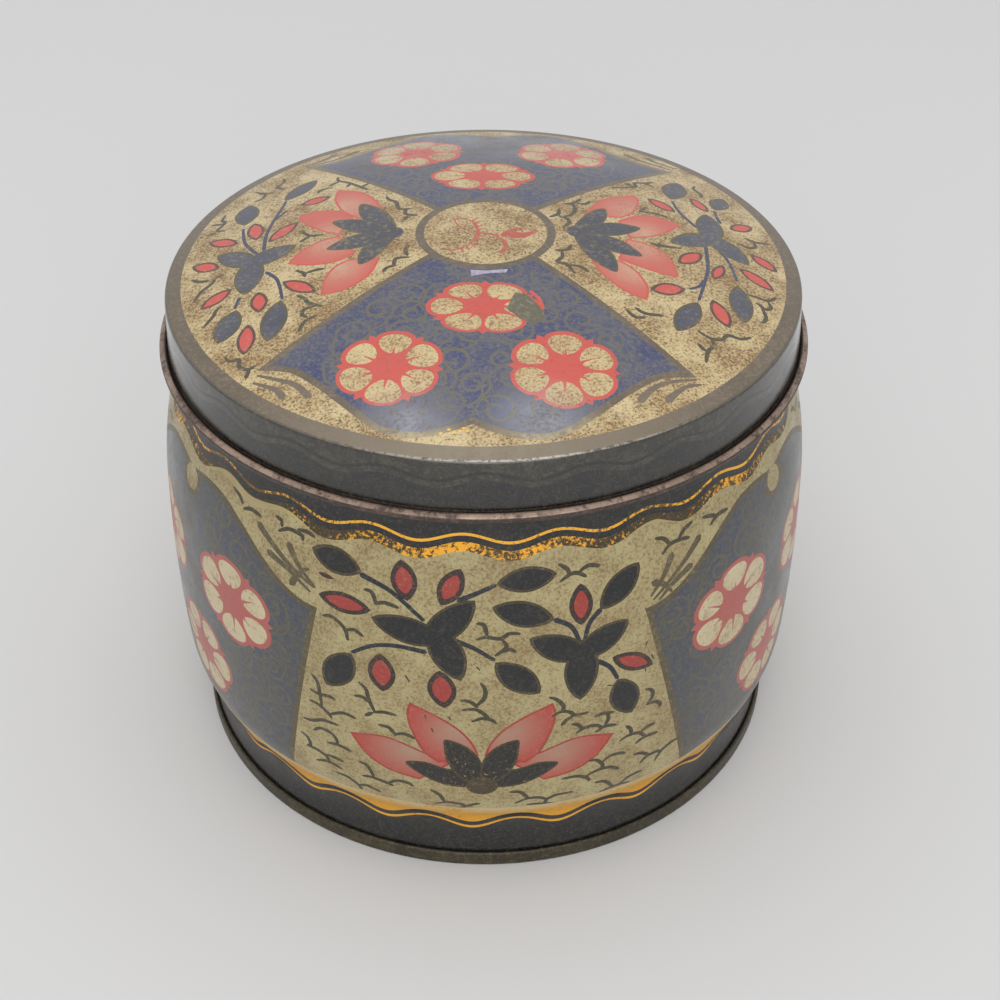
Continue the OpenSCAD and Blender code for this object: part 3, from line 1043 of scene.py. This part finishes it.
def left_spray(lid):
    for points in [
        [(-53.8, -0.4), (-57.2, 5.8), (-58.6, 13.8)],
        [(-52, 0.5), (-52.2, 7), (-51.3, 13.5), (-49.5, 22), (-49, 25.5)],
        [(-51, 15), (-48.2, 19.3)],
        [(-50.4, -10), (-47.5, -14), (-45.7, -21.8)],
        [(-56.1, -18.7), (-56.8, -22.1)],
    ]:
        lid.stem(points)
    lid.spray([
        ((-52.5, -6), (-63.8, 2.8), 3.3), ((-57, -5.5), (-44, 0.2), 3.3), ((-54.2, -2), (-55, -17.7), 3.6)])
    for start, end, half in [
        ((-58.8, 27.9), (-58.3, 15.8), 3.2), ((-42.2, 37.1), (-49.3, 26), 2.7),
        ((-46.1, -22.3), (-48.1, -36.4), 3.1), ((-56.3, -23), (-59.7, -34), 3.2),
    ]:
        lid.leaf(start, end, half)
    for start, end, half in [
        ((-69.8, 0.3), (-62.5, -3.8), 2.2), ((-67, 10.8), (-59, 6.3), 2.1),
        ((-56, 15.7), (-54.3, 6.3), 2.2),
        ((-44.7, 12), (-51.3, 4), 2.1), ((-45, 21.3), (-37.5, 24), 2.1),
        ((-58.3, -14), (-65.4, -19.8), 2.1),
        ((-51.7, -17.5), (-50.7, -25.5), 2.1), ((-46.2, -15), (-38, -21), 2.1),
        ((-53, -29.2), (-53.2, -39.5), 2.2),
    ]:
        lid.pod(start, end, half)
    lid.tuft(
        [(-69, -6.2), (-67.3, -7.6), (-64.5, -8.5)],
        [(-61.2, -6.8), (-63, -8), (-63.7, -10), (-66, -12.5), (-67.3, -16)],
        [(-60.3, -20), (-61.5, -22), (-61.8, -23.5), (-63.8, -27)],
        [(-57.5, -39), (-56.5, -40.7), (-54.2, -40.8), (-54, -43), (-52, -44.5), (-50.3, -43.7)],
        [(-51.5, -44.7), (-52.2, -47)],
        [(-43.3, -11.3), (-41.5, -12.7), (-41, -14.3)], [(-41, -13), (-38.5, -12.2), (-36.8, -12.2)],
        [(-42.3, -21.5), (-40.5, -23), (-39.5, -24.7), (-36.2, -26.8)],
        [(-37.5, -26.2), (-40.2, -27), (-40.7, -28.7), (-39.5, -30)],
        [(-37.3, -29.8), (-40, -31.5), (-41, -34.5)],
        [(-17.2, -6), (-18, -7.5), (-17.5, -10)], [(-17, -10.8), (-20, -11), (-20.5, -13.5)],
        [(-20, -13.7), (-22, -14.5), (-22.8, -16)],
        [(-23.5, 20), (-22.8, 18), (-21, 16.3), (-20.2, 12.5), (-17.3, 12)],
        [(-18.4, 12), (-18.5, 9.5), (-15.8, 8.3)], [(-18, 8.3), (-18.8, 6.3)],
        [(-43.3, 7.2), (-42.5, 5.2), (-40.5, 3.5), (-38, 3.4)], [(-41, 3.7), (-43.2, 1.5)],
        [(-41, 27.5), (-40.5, 29), (-38, 30)],
        [(-36.7, 36.5), (-36.3, 34), (-33.5, 31.5), (-29.8, 27), (-28.5, 25.5)],
        [(-64.5, 25), (-65, 22), (-64, 20), (-65.5, 16.5), (-63.5, 15.3)], [(-68, 14.8), (-66, 15.5)],
        [(-51.5, 43), (-51, 40), (-52.5, 37), (-50.5, 34.5)], [(-58, 36.5), (-55.5, 34), (-53, 33.5)],
        [(-55.2, 33.8), (-55.5, 31), (-57.5, 29.5)], [(-64.2, 19.5), (-67.5, 20.5)],
        [(-36, 33.5), (-38.5, 31.2)], [(-33, 31.2), (-33.8, 29)], [(-30.2, 27.6), (-28.6, 29.4)],
    )


def right_spray(lid):
    for points in [
        [(51.5, 10.4), (48.2, 16.7), (46.7, 23.3)], [(58, 15.5), (57.5, 19), (57.3, 22)],
        [(52.8, 1), (52.3, -8.8), (50.9, -15), (48.9, -22.3)],
        [(50.8, -14.3), (49.5, -16.8), (47.2, -18.5)],
        [(55, 2.3), (57.8, -3.8), (59, -11.7)],
    ]:
        lid.stem(points)
    lid.spray([((55, 3.5), (54.8, 19), 3.5), ((57.5, 7), (44, 0.6), 3.3), ((53.5, 8), (63, -3.5), 3.4)])
    for start, end, half in [
        ((49.6, 37.1), (46.5, 24.6), 3.3), ((60.9, 31.7), (57.5, 22.8), 2.6),
        ((48.6, -23.3), (42.8, -34.8), 2.9), ((58.8, -13.8), (59.2, -28), 2.9),
    ]:
        lid.leaf(start, end, half)
    for start, end, half in [
        ((64, 2.1), (70, -3.8), 2), ((60.3, -5.8), (68, -12.8), 2.1), ((51.5, -2.3), (45.3, -8.5), 2.2),
        ((56.3, -6), (53.2, -12.9), 1.6), ((37.7, -20.9), (46.1, -18.8), 2.4),
        ((52.1, -21.3), (55.2, -30.8), 2.2),
        ((40.5, 22.9), (46.9, 16.9), 2), ((51.8, 27.7), (55.5, 20.5), 1.8),
        ((60.2, 13), (66.5, 17.3), 2.1),
    ]:
        lid.pod(start, end, half)
    lid.tuft(
        [(47.7, -33.7), (50.3, -35.5), (53, -35.4), (54.6, -33.5), (57.5, -34), (60, -32.8)],
        [(50.5, -35.7), (51, -38), (49.5, -40), (48.7, -43.7)], [(47.3, -38), (48.7, -40)],
        [(31.8, -29.5), (33.5, -31.5), (35.7, -31.5)], [(33.8, -28.3), (36, -30), (40, -30)],
        [(61, -16.5), (65.7, -17.3), (68, -15.4)], [(65.9, -17.9), (66.3, -20), (64.8, -21), (63, -19.2)],
        [(64, -20.8), (64.6, -24.2), (63.6, -26.5)],
        [(20.2, -5.5), (19.5, -7.5), (16.7, -8.3)],
        [(18, -8.5), (18, -11), (16.8, -13), (19, -14), (20.6, -17.3)],
        [(19.5, -14.2), (22, -14.5), (23.7, -16.3)],
        [(18, 11.5), (17.8, 9), (15.8, 7.2)],
        [(18.5, 7.5), (21, 9), (22, 12), (21.5, 14.5), (19.7, 14.7)],
        [(18, 8), (20, 6.5), (20.2, 4.5), (18.8, 2.5)], [(19.7, 14.7), (22, 15.5), (23.5, 18)],
        [(22.5, 15.5), (24.5, 15.3), (25.8, 17)],
        [(37.8, 14.2), (39.6, 17.1)], [(38.6, 14.4), (41.9, 14.4), (44.6, 13.1)],
        [(39.2, -1), (41.5, -2.2)], [(41.3, -0.5), (42, -1.7), (46.5, -1.5)],
        [(63.8, 10), (66, 9), (70, 9.8)], [(65.7, 9), (65.8, 6.5), (64, 5.2), (61.5, 6.3)],
        [(32, 27), (35, 27.8), (38, 29.5), (38, 32), (41, 33), (43, 34.5)],
        [(54, 37), (53.5, 34.5), (55, 31.5), (54.8, 29.5)],
        [(37.8, 29.3), (35.5, 31)], [(40, 32.8), (42.5, 31.5)],
    )


# Print on the body: panels along the girth, and the heights of its borders
PANELS = 3
PANEL_L = BLANK_L / PANELS
PANEL_U = -1.2
BODY_PANEL_RIM = 1.5
SIDE_SEAM_U = 212.3
START_U = SIDE_SEAM_U - BLANK_L
OVERLAP = 2
BLANK_LOW_V = -SEAM_V
BLANK_HIGH_V = BODY_TOP_V - SEAM_V
NECK_V = 107
BAND_DROP = 1.9
SPENT_W = 0.4
FLECKS_W = 1.9
TOP_LINE_W = 0.7
LOW_LINE_W = 1.0
LOW_GOLD_V = 20.5
LOW_GOLD_FADES_V = 14.5
# Where most of the upper gold is left: on the cream panels, and over the blue ones
CREAM_GOLD_U = -4
BLUE_GOLD_U = 66


def wave(middle, height, count, peak_u):
    """A wavy line around the body."""
    return lambda u: middle + height * math.cos(2 * math.pi * count * (u - peak_u) / BLANK_L)


def level(v):
    """A level line around the body."""
    return lambda u: v


def raised(line, rise):
    """A line moved up the body."""
    return lambda u: line(u) + rise


top_wave = wave(100.5, 1.15, 23, -4.8)
low_wave = wave(10.8, -2.1, 22, -4)
low_gap = wave(2.9, -0.6, 22, -4)


def low_edge(u):
    """Upper edge of the dark band at the foot."""
    return low_wave(u) + low_gap(u)


def border(low, high, overlap=OVERLAP, step=1.2):
    """A band around the body between two lines."""
    start, end = START_U - overlap, SIDE_SEAM_U + overlap
    n = int((end - start) / step)
    run = [start + (end - start) * i / n for i in range(n + 1)]
    return [(u, low(u)) for u in run] + [(u, high(u)) for u in reversed(run)]


def away(u, middle):
    """Distance along the blank from the nearest repeat of a middle."""
    return abs((u - middle + PANEL_L / 2) % PANEL_L - PANEL_L / 2)


def bright(u, v):
    """How much of the upper gold is left."""
    return np.maximum(1.15 - away(u, CREAM_GOLD_U) / 62, 0.95 - away(u, BLUE_GOLD_U) / 50)


def spent(u):
    """Lower edge of the worn gold, which narrows where it is gone."""
    full = max((52 - away(u, CREAM_GOLD_U)) / 16, (32 - away(u, BLUE_GOLD_U)) / 12)
    return top_wave(u) - (BAND_DROP + SPENT_W) - FLECKS_W * min(max(full, 0), 1)


def blue_side():
    """A blue panel of the body, drawn about its own axis."""
    side = Print()
    edge = [
        (-44.7, 76.8), (-40.7, 77.4), (-35.7, 79.6), (-30.7, 83), (-25.7, 86.9), (-20.7, 90.2),
        (-15.7, 92.6), (-10.7, 93.4), (-6, 93.2), (-3, 92.6), (-1.2, 92.3),
    ]
    top = curved(edge)
    left = [(-27.5, 6), (-30.7, 20)] + top
    turns = [math.radians(112 + a) for a in range(0, 317, 12)]
    notch_r, notch_v = 3.2, 89.2
    notch = [(notch_r * math.cos(a), notch_v + notch_r * math.sin(a)) for a in turns]
    right = [(-u, v) for u, v in reversed(top)] + [(33.2, 20), (30, 6)]
    outline = anticlockwise(left + notch + right)
    field = inset(outline, BODY_PANEL_RIM)
    side.lay("olive", outline)
    side.lay("blue", field)
    side.scrollwork(field, SCROLL_PITCH)
    side.blossom(-18, 64.6, 14.2, 12.4, 30)
    side.blossom(18, 64.6, 14.2, 12.4, 30)
    side.blossom(0.6, 37.6, 13.8, 12.2, 0)
    return side


def cream_side():
    """The flowers of a cream panel of the body, as on its front."""
    side = Print(pod_rim=1.1)
    for points in [
        [(-27.5, 88.8), (-20.4, 86), (-13.5, 79.9)], [(-5.7, 85.7), (2, 89.5)],
        [(-6.5, 75), (-2.5, 73), (1.6, 69.8)], [(-13.3, 71.2), (-19.5, 71.8), (-25, 70.5), (-29.8, 67.2)],
        [(15, 79.5), (18.5, 77), (20.5, 72)], [(25, 80), (22.5, 77), (21.4, 72)],
        [(24.7, 65.6), (27.5, 63), (29.4, 59)],
    ]:
        side.stem(points, 1.35)
    for start, end, half in [
        ((-40, 91.8), (-27.5, 89.5), 3.3), ((-30, 66.7), (-36.8, 54.6), 3.8),
        ((2.3, 89.8), (15.6, 91.2), 3.1),
        ((25, 80.1), (34.7, 89.4), 3.4), ((1.3, 84), (14.8, 79.7), 3.4), ((1.9, 69), (11.7, 59), 3.6),
        ((29.5, 58.7), (33.4, 46.5), 3.7),
    ]:
        side.leaf(start, end, half)
    side.spray([
        ((-8, 74.5), (-25.2, 78.5), 3.7), ((-14, 73), (-2.3, 85.8), 3.7),
        ((-11.5, 79.5), (-5.5, 63.6), 3.9)])
    side.spray([((23, 67.5), (9.2, 75.2), 3.7), ((19, 67.5), (31.8, 75.4), 3.7), ((21, 73), (20.8, 55), 4)])
    for start, end, half in [
        ((-18.7, 94.3), (-17, 84.4), 3), ((-5.4, 93.4), (-9.7, 84.2), 2.8),
        ((-37.8, 80.7), (-25.2, 80.2), 2.7),
        ((-23.2, 68.7), (-23, 57.5), 3.2), ((-10.2, 66.2), (-9.2, 55), 3.2),
        ((20.7, 87.8), (20.7, 77), 2.7),
        ((28, 65.7), (38.3, 59.6), 2.6),
    ]:
        side.pod(start, end, half)
    side.lay("pod edge", lens((-38, 86.3), (-34, 85.9), 0.6))
    for points in [
        [(-55, 91.5), (-46, 85.5), (-39, 82)], [(-46, 90.2), (-43, 86), (-38.8, 82.2)],
        [(-51.5, 86), (-45.5, 83.8), (-40, 80.5)], [(-44.9, 80.8), (-42.5, 84.8), (-40.5, 86.2)],
        [(51, 89.3), (45.5, 84.5), (38, 78.5)], [(43, 88), (40.5, 83.5), (37.3, 79.7)],
        [(48, 83.3), (43, 80.8), (39.4, 77.8)], [(38.2, 82.9), (41, 81.3), (42.7, 78.8)],
    ]:
        side.lay("olive", stroke(points, *reversed(DROP_W)))
    body_lotus(side)
    body_tufts(side)
    return side


def body_lotus(side):
    """A lotus flower, drawn as its left half and mirrored."""
    axis = PANEL_U

    def both(points, way):
        return [(axis + way * (u - axis), v) for u, v in points]

    petals = [
        ((-31.7, 41.6), [(-23, 43.3), (-14.7, 40.4), (-8, 37)],
         [(-28, 35.5), (-22.5, 31.8), (-15.5, 30.3)], (-17.5, 41)),
        ((-17, 55.6), [(-17.8, 52), (-17, 47), (-14.5, 40.5), (-11, 37)],
         [(-11, 52.5), (-6, 48.5), (-3, 44), (-1.8, 40)], (-6, 48)),
    ]
    for way in (1, -1):
        for tip, first, second, pale in petals:
            tip, pale = both([tip, pale], way)
            side.petal(tip, both(first, way), both(second, way), pale)
    sepals = [
        [(-18.7, 35.7), (-15, 32), (-10, 29.5), (-5, 28.9), (-1.2, 29.5), (-1.2, 35), (-9, 35.2),
         (-14, 36.8)],
        [(-9.2, 45), (-9.6, 42), (-9, 37.5), (-6, 32), (-1.2, 31), (-1.3, 38), (-4.5, 43)],
    ]
    side.sepals([both(outline, way) for outline in sepals for way in (1, -1)])
    side.lay("leaf edge", round_spot(axis, 29.6, 3.7, 3.1))


def body_tufts(side):
    side.tuft(
        [(-36.8, 75.2), (-34.5, 75.7), (-31.5, 73.5), (-30.8, 70.4)],
        [(-31, 73.2), (-29, 73.8), (-27.2, 72.6)],
        [(-26.8, 85.3), (-25, 85), (-24, 82.2)], [(-24.3, 82.2), (-22, 83), (-19, 82.3)],
        [(-50.5, 95.6), (-48.8, 95.2), (-48.5, 93.9)],
        [(-49.3, 92.4), (-46.5, 94), (-43, 93.8), (-42.5, 92.7)],
        [(-44, 94.8), (-41.5, 95.1), (-39.6, 94.6)],
        [(-65, 96.3), (-62.5, 95.5), (-61, 94)], [(-60.5, 93), (-58, 94), (-55, 93.7)],
        [(16, 93.3), (17.7, 92), (18.3, 90.6)], [(16.2, 89.1), (18.5, 90.5), (20.2, 90.5), (22, 89.3)],
        [(20.6, 90.8), (22.7, 91.8), (25.2, 91.2)],
        [(-2, 79.8), (-0.5, 79.5), (0.2, 76.7)], [(-2, 75.5), (0, 76.2), (3, 75.7), (5, 77), (7.2, 76.8)],
        [(3.6, 75.2), (4.3, 73.2), (2, 71)], [(4, 72), (5, 72.6), (6.3, 71.8)],
        [(39.2, 93.7), (41.5, 92.8), (43, 90.7)], [(40.7, 89.3), (43, 91), (46, 91), (48.3, 90.5)],
        [(45, 91), (47, 93), (49.5, 93.9)],
        [(52.7, 93.6), (55.5, 92.8), (57, 91.8)], [(54.8, 90.8), (57.5, 92.2), (60.7, 92)],
        [(-40.5, 56.2), (-39.2, 54.5), (-38.8, 51.5), (-38.5, 47.3)],
        [(-41.3, 51.2), (-39, 50.7), (-36.5, 51.2), (-35, 50.8)],
        [(-41.7, 47.4), (-39.5, 47.2), (-37, 45.5), (-36.2, 44.2)],
        [(-36.5, 45.3), (-33, 47.2), (-30, 46.7)],
        [(-28.6, 58.6), (-27, 57), (-26.4, 54), (-25.2, 50.5)], [(-29.8, 54), (-28, 54.3), (-26.5, 53.2)],
        [(-25.5, 50.2), (-23, 51), (-20.3, 50.8)], [(-27.5, 48.5), (-25.8, 50)],
        [(-24.4, 46.5), (-22, 46.3), (-20.5, 44.2)], [(-20.7, 44.5), (-18.5, 45.2), (-16.2, 44.2)],
        [(-44, 40.3), (-41.5, 40.8), (-38.5, 42.4), (-34.7, 42.5)],
        [(-41.5, 37.5), (-39.5, 39.2), (-37, 39), (-35.5, 37.5), (-35.3, 35.5)],
        [(-38, 35), (-35, 35.6), (-31.8, 34.8)],
        [(-45.2, 34.8), (-43.5, 33.8), (-43, 31.5), (-44, 30.8)],
        [(-44, 30.8), (-41.5, 30.9), (-39, 30), (-38, 28.3)],
        [(-38.5, 30.5), (-36, 30.5), (-34.2, 30.1)], [(-41.7, 26.9), (-39, 28), (-37, 28), (-35, 27.2)],
        [(-30, 32), (-28, 31.3), (-26.6, 28)], [(-29.5, 27.2), (-27, 27.6), (-24, 27), (-22, 26.3)],
        [(-23, 27), (-21, 28.4), (-18.5, 28.4), (-17.3, 27.6)],
        [(-36.5, 25.1), (-33.5, 24.9), (-31, 23), (-30.4, 21.3)],
        [(-30.8, 23), (-28.5, 23.8), (-25.3, 22.5)],
        [(-13, 27), (-11, 25.5), (-10, 23)],
        [(-12, 21.8), (-9, 22.8), (-6, 22.3), (-5, 21.5), (-3, 22.5), (-1.8, 22.8)],
        [(-5, 21.3), (-7, 19.8)],
        [(-1.2, 63), (-0.3, 61), (-0.5, 58.5), (-2.3, 56)], [(-5.6, 57.7), (-3.5, 57.3), (-2, 55.7)],
        [(-5.3, 54.7), (-2.5, 55), (-0.5, 53.5), (0.5, 52)],
        [(-3.2, 51.2), (-1, 52.2), (0.8, 51.8), (2, 50.7)],
        [(13.8, 57.4), (15.5, 56.3), (17, 54), (16.6, 52.2)],
        [(14.5, 51.4), (16.5, 52.4), (18.5, 51.8), (19.8, 50.5), (22.7, 50.6)],
        [(19.5, 50.5), (17.8, 49.5), (16.7, 48)],
        [(24.4, 48.6), (26, 49), (29, 48.5)],
        [(27.3, 48.7), (27.7, 47), (27, 45.2)],
        [(19, 47.8), (20.5, 47.2), (21.5, 45.5)],
        [(20.2, 44.6), (22, 45.7), (24.5, 45.8), (26.5, 44.3)], [(24.8, 43.5), (27, 44.6), (29.7, 44.1)],
        [(36.7, 52.5), (38.3, 51.5), (38.8, 49.5), (37.6, 47.6)],
        [(37.3, 47.3), (39.5, 47.2), (41, 45.8), (41, 44.8)],
        [(32.3, 42.6), (33.5, 41), (33.8, 39)],
        [(31, 38.1), (33, 39), (35.5, 38.8), (37, 37.5), (37.6, 36.5)],
        [(36.3, 38.7), (38, 39.7), (40, 39.8)], [(35.2, 35.3), (37.5, 36.4), (41, 36.2)],
        [(23.5, 34.2), (25.5, 33.6), (27, 31.5), (26.8, 30)],
        [(27, 32.5), (28.7, 33.8), (31, 33.8), (32.5, 33.2)],
        [(17.3, 29.6), (20.5, 29.6), (23, 28.5), (24, 27)],
        [(23, 28.8), (26, 30), (29, 29.8), (31.3, 28.2)],
        [(35, 31.4), (37, 31), (39.3, 29.2)], [(37, 27.3), (38.5, 28.8), (41, 29.2), (42.8, 28.5)],
        [(41.2, 26), (42.8, 28.5), (45, 29.8), (47.5, 30.2)],
        [(5.2, 27), (7.5, 26.8), (9.5, 24.3)],
        [(6.5, 22.4), (9, 24), (12, 24), (14, 23), (16, 24), (20, 24)],
        [(14, 23), (13.5, 21.3)], [(9.3, 21.3), (12, 21.2), (17.3, 19.9)],
        [(25.5, 25.6), (28, 25), (30.2, 22)], [(26, 20), (29, 21.3), (32, 21.7), (35, 21)],
        [(32, 21.8), (34.5, 23.8), (37.8, 24.2)],
    )


def body_print():
    body = Print()
    body.lay("cream", border(low_wave, top_wave, overlap=0))
    for side, first in ((blue_side(), PANEL_U - PANEL_L * 1.5), (cream_side(), -PANEL_L)):
        for k in range(PANELS + 1):
            shift = first + k * PANEL_L
            body.place(side, lambda u, v, d=shift: (u + d, v), lambda u, v, d=shift: (u - d, v))
    body.lay("neck", border(level(NECK_V), level(BLANK_HIGH_V + 1), step=2))
    body.lay("band", border(raised(top_wave, -BAND_DROP), level(NECK_V)))
    body.lay("band", border(level(BLANK_LOW_V - 1), low_edge))
    half = TOP_LINE_W / 2
    body.lay("worn gold", border(raised(top_wave, -half), raised(top_wave, half)), bright)
    flecks_drop = BAND_DROP + SPENT_W + FLECKS_W
    body.lay("side gold", border(raised(top_wave, -flecks_drop), raised(top_wave, -BAND_DROP)))
    body.lay("spent gold", border(spent, raised(top_wave, -BAND_DROP)), bright)
    half = LOW_LINE_W / 2
    body.lay("gold", border(raised(low_wave, -half), raised(low_wave, half)))
    fading = LOW_GOLD_V - LOW_GOLD_FADES_V
    body.lay("low gold", border(low_edge, level(LOW_GOLD_V)), lambda u, v: (v - LOW_GOLD_FADES_V) / fading)
    # Short scratches
    for points in [
        [(36.2, 59.7), (36.5, 58.2)], [(36.5, 67.1), (36.2, 65.9)], [(37.9, 62.6), (38.3, 61.2)],
        [(-13.6, 52.1), (-13.4, 51.1)], [(-12.2, 48.1), (-11.9, 47.1)], [(-8.3, 52.3), (-8, 51.4)],
        [(-17.6, 63.5), (-16.8, 61.7)], [(-2, 67.7), (-1.4, 66.8)], [(27.2, 57.6), (28.4, 57)],
        [(58, 49.4), (60, 48.6)], [(61.4, 50.6), (62.8, 50)],
    ]:
        body.lay("tuft", stroke(points, 0.45, 0.3))
    for edge in (START_U, SIDE_SEAM_U):
        left, right = edge - OVERLAP, edge + OVERLAP
        low, high = BLANK_LOW_V - 1, BLANK_HIGH_V + 1
        body.lay("side seam", [(left, low), (right, low), (right, high), (left, high)])
    return body


# Printed sheets. Points between the outlines let the faces follow the curves of the tin.
SPOT_PITCH = 2.4
EDGE_ROWS = (-0.6, 0, 0.25, 0.5, 0.98, 1.2, 1.6)
SKIRT_ROWS = (78, 81, 84, 87)
# Rows up the body: the first, their pitch and their count
BODY_ROWS = ((0, 1.0, 36), (36, 2.4, 17), (76, 1.2, 26), (108, 4, 3))
BEAD_CREST = (3, 10)


def lid_spots():
    spots = [(0.0, 0.0)]
    s = SPOT_PITCH
    while s < LID_EDGE_S - 1:
        spots += ring(s, max(int(2 * math.pi * s / SPOT_PITCH), 8))
        s += SPOT_PITCH
    for deeper in EDGE_ROWS:
        spots += fine_ring(LID_EDGE_S + deeper)
    for row in SKIRT_ROWS:
        spots += ring(row)
    return spots


crest_start, crest_end = BEAD_CREST
lid_sheet = printed_sheet(
    "lid_print", ring(LID_END_S), lid_print().shapes, lid_spots(), on_lid, lid_inks, "skirt")
lid_linings = [
    spun_sheet("bead_roll", curl, bead_paint),
    spun_sheet("bead_end", bead[:crest_start + 1], bead_paint),
    spun_sheet("bead_crest", bead[crest_start:crest_end + 1], bead_crest_worn_and_lit),
    spun_sheet("bead_face", bead[crest_end:], bead_paint),
    spun_sheet("lid_lining", lid_lining, old_tin),
]
lid = closed_piece(lid_sheet, *lid_linings)
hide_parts("lid_shell")
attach(lid, "lid")

girth = [START_U + BLANK_L * i / TURNS for i in range(TURNS + 1)]
body_rows = [first + pitch * k for first, pitch, count in BODY_ROWS for k in range(count)]
body_spots = [(u, v) for v in body_rows for u in girth]
blank = [(u, BLANK_LOW_V) for u in girth] + [(u, BLANK_HIGH_V) for u in reversed(girth)]
body_sheet = printed_sheet(
    "body_print", blank, body_print().shapes, body_spots, on_body, body_inks, "band")
body = closed_piece(body_sheet, spun_sheet("body_lining", body_lining, old_tin))
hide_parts("body_wall")
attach(body, "tin")

for name, material in (("base_pan", base_paint), ("lid_wire", wire)):
    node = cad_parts[name]
    node.data.materials.clear()
    node.data.materials.append(material)

# Floor, light and camera, in metres and watts
FLOOR_SIZE = 40
ROOM_LIGHT = 0.74
SOFTBOX_SIZE = 1.2
SOFTBOXES = (
    ("overhead softbox", (-0.1, 0.1, 1.3), (0, 0, 0), 3),
    ("front softbox", (0, -1.2, 0.7), (math.radians(62), 0, 0), 7),
)
LENS_MM = 63.4
SENSOR_MM = 36
EYE = (0, -0.361875, 0.339375)
EYE_TILT = (math.radians(51.82), 0, math.radians(-0.61))

scene = bpy.context.scene
scene.view_settings.view_transform = "Standard"
bpy.ops.object.select_all(action="DESELECT")
bpy.ops.mesh.primitive_plane_add(size=FLOOR_SIZE, location=(0, 0, 0))
floor = bpy.context.object
floor.name = "floor"
# Matt paper: a plain, pale ground without shine
paper = bpy.data.materials.new("grey paper")
paper.use_nodes = True
paper_shader = paper.node_tree.nodes["Principled BSDF"]
paper_shader.inputs["Base Color"].default_value = linear("d7d7d7")
paper_shader.inputs["Roughness"].default_value = 0.9
floor.data.materials.append(paper)

world = bpy.data.worlds.new("pale room")
scene.world = world
world.use_nodes = True
room = world.node_tree.nodes["Background"]
room.inputs["Color"].default_value = (1.0, 1.0, 1.0, 1.0)
room.inputs["Strength"].default_value = ROOM_LIGHT

for name, spot, tilt, power in SOFTBOXES:
    lamp_data = bpy.data.lights.new(name, "AREA")
    lamp_data.shape = "DISK"
    lamp_data.size = SOFTBOX_SIZE
    lamp_data.energy = power
    lamp = bpy.data.objects.new(name, lamp_data)
    lamp.location = spot
    lamp.rotation_euler = tilt
    bpy.context.collection.objects.link(lamp)

camera_data = bpy.data.cameras.new("camera")
camera_data.lens = LENS_MM
camera_data.sensor_width = SENSOR_MM
camera = bpy.data.objects.new("camera", camera_data)
camera.location = EYE
camera.rotation_euler = EYE_TILT
bpy.context.collection.objects.link(camera)
scene.camera = camera
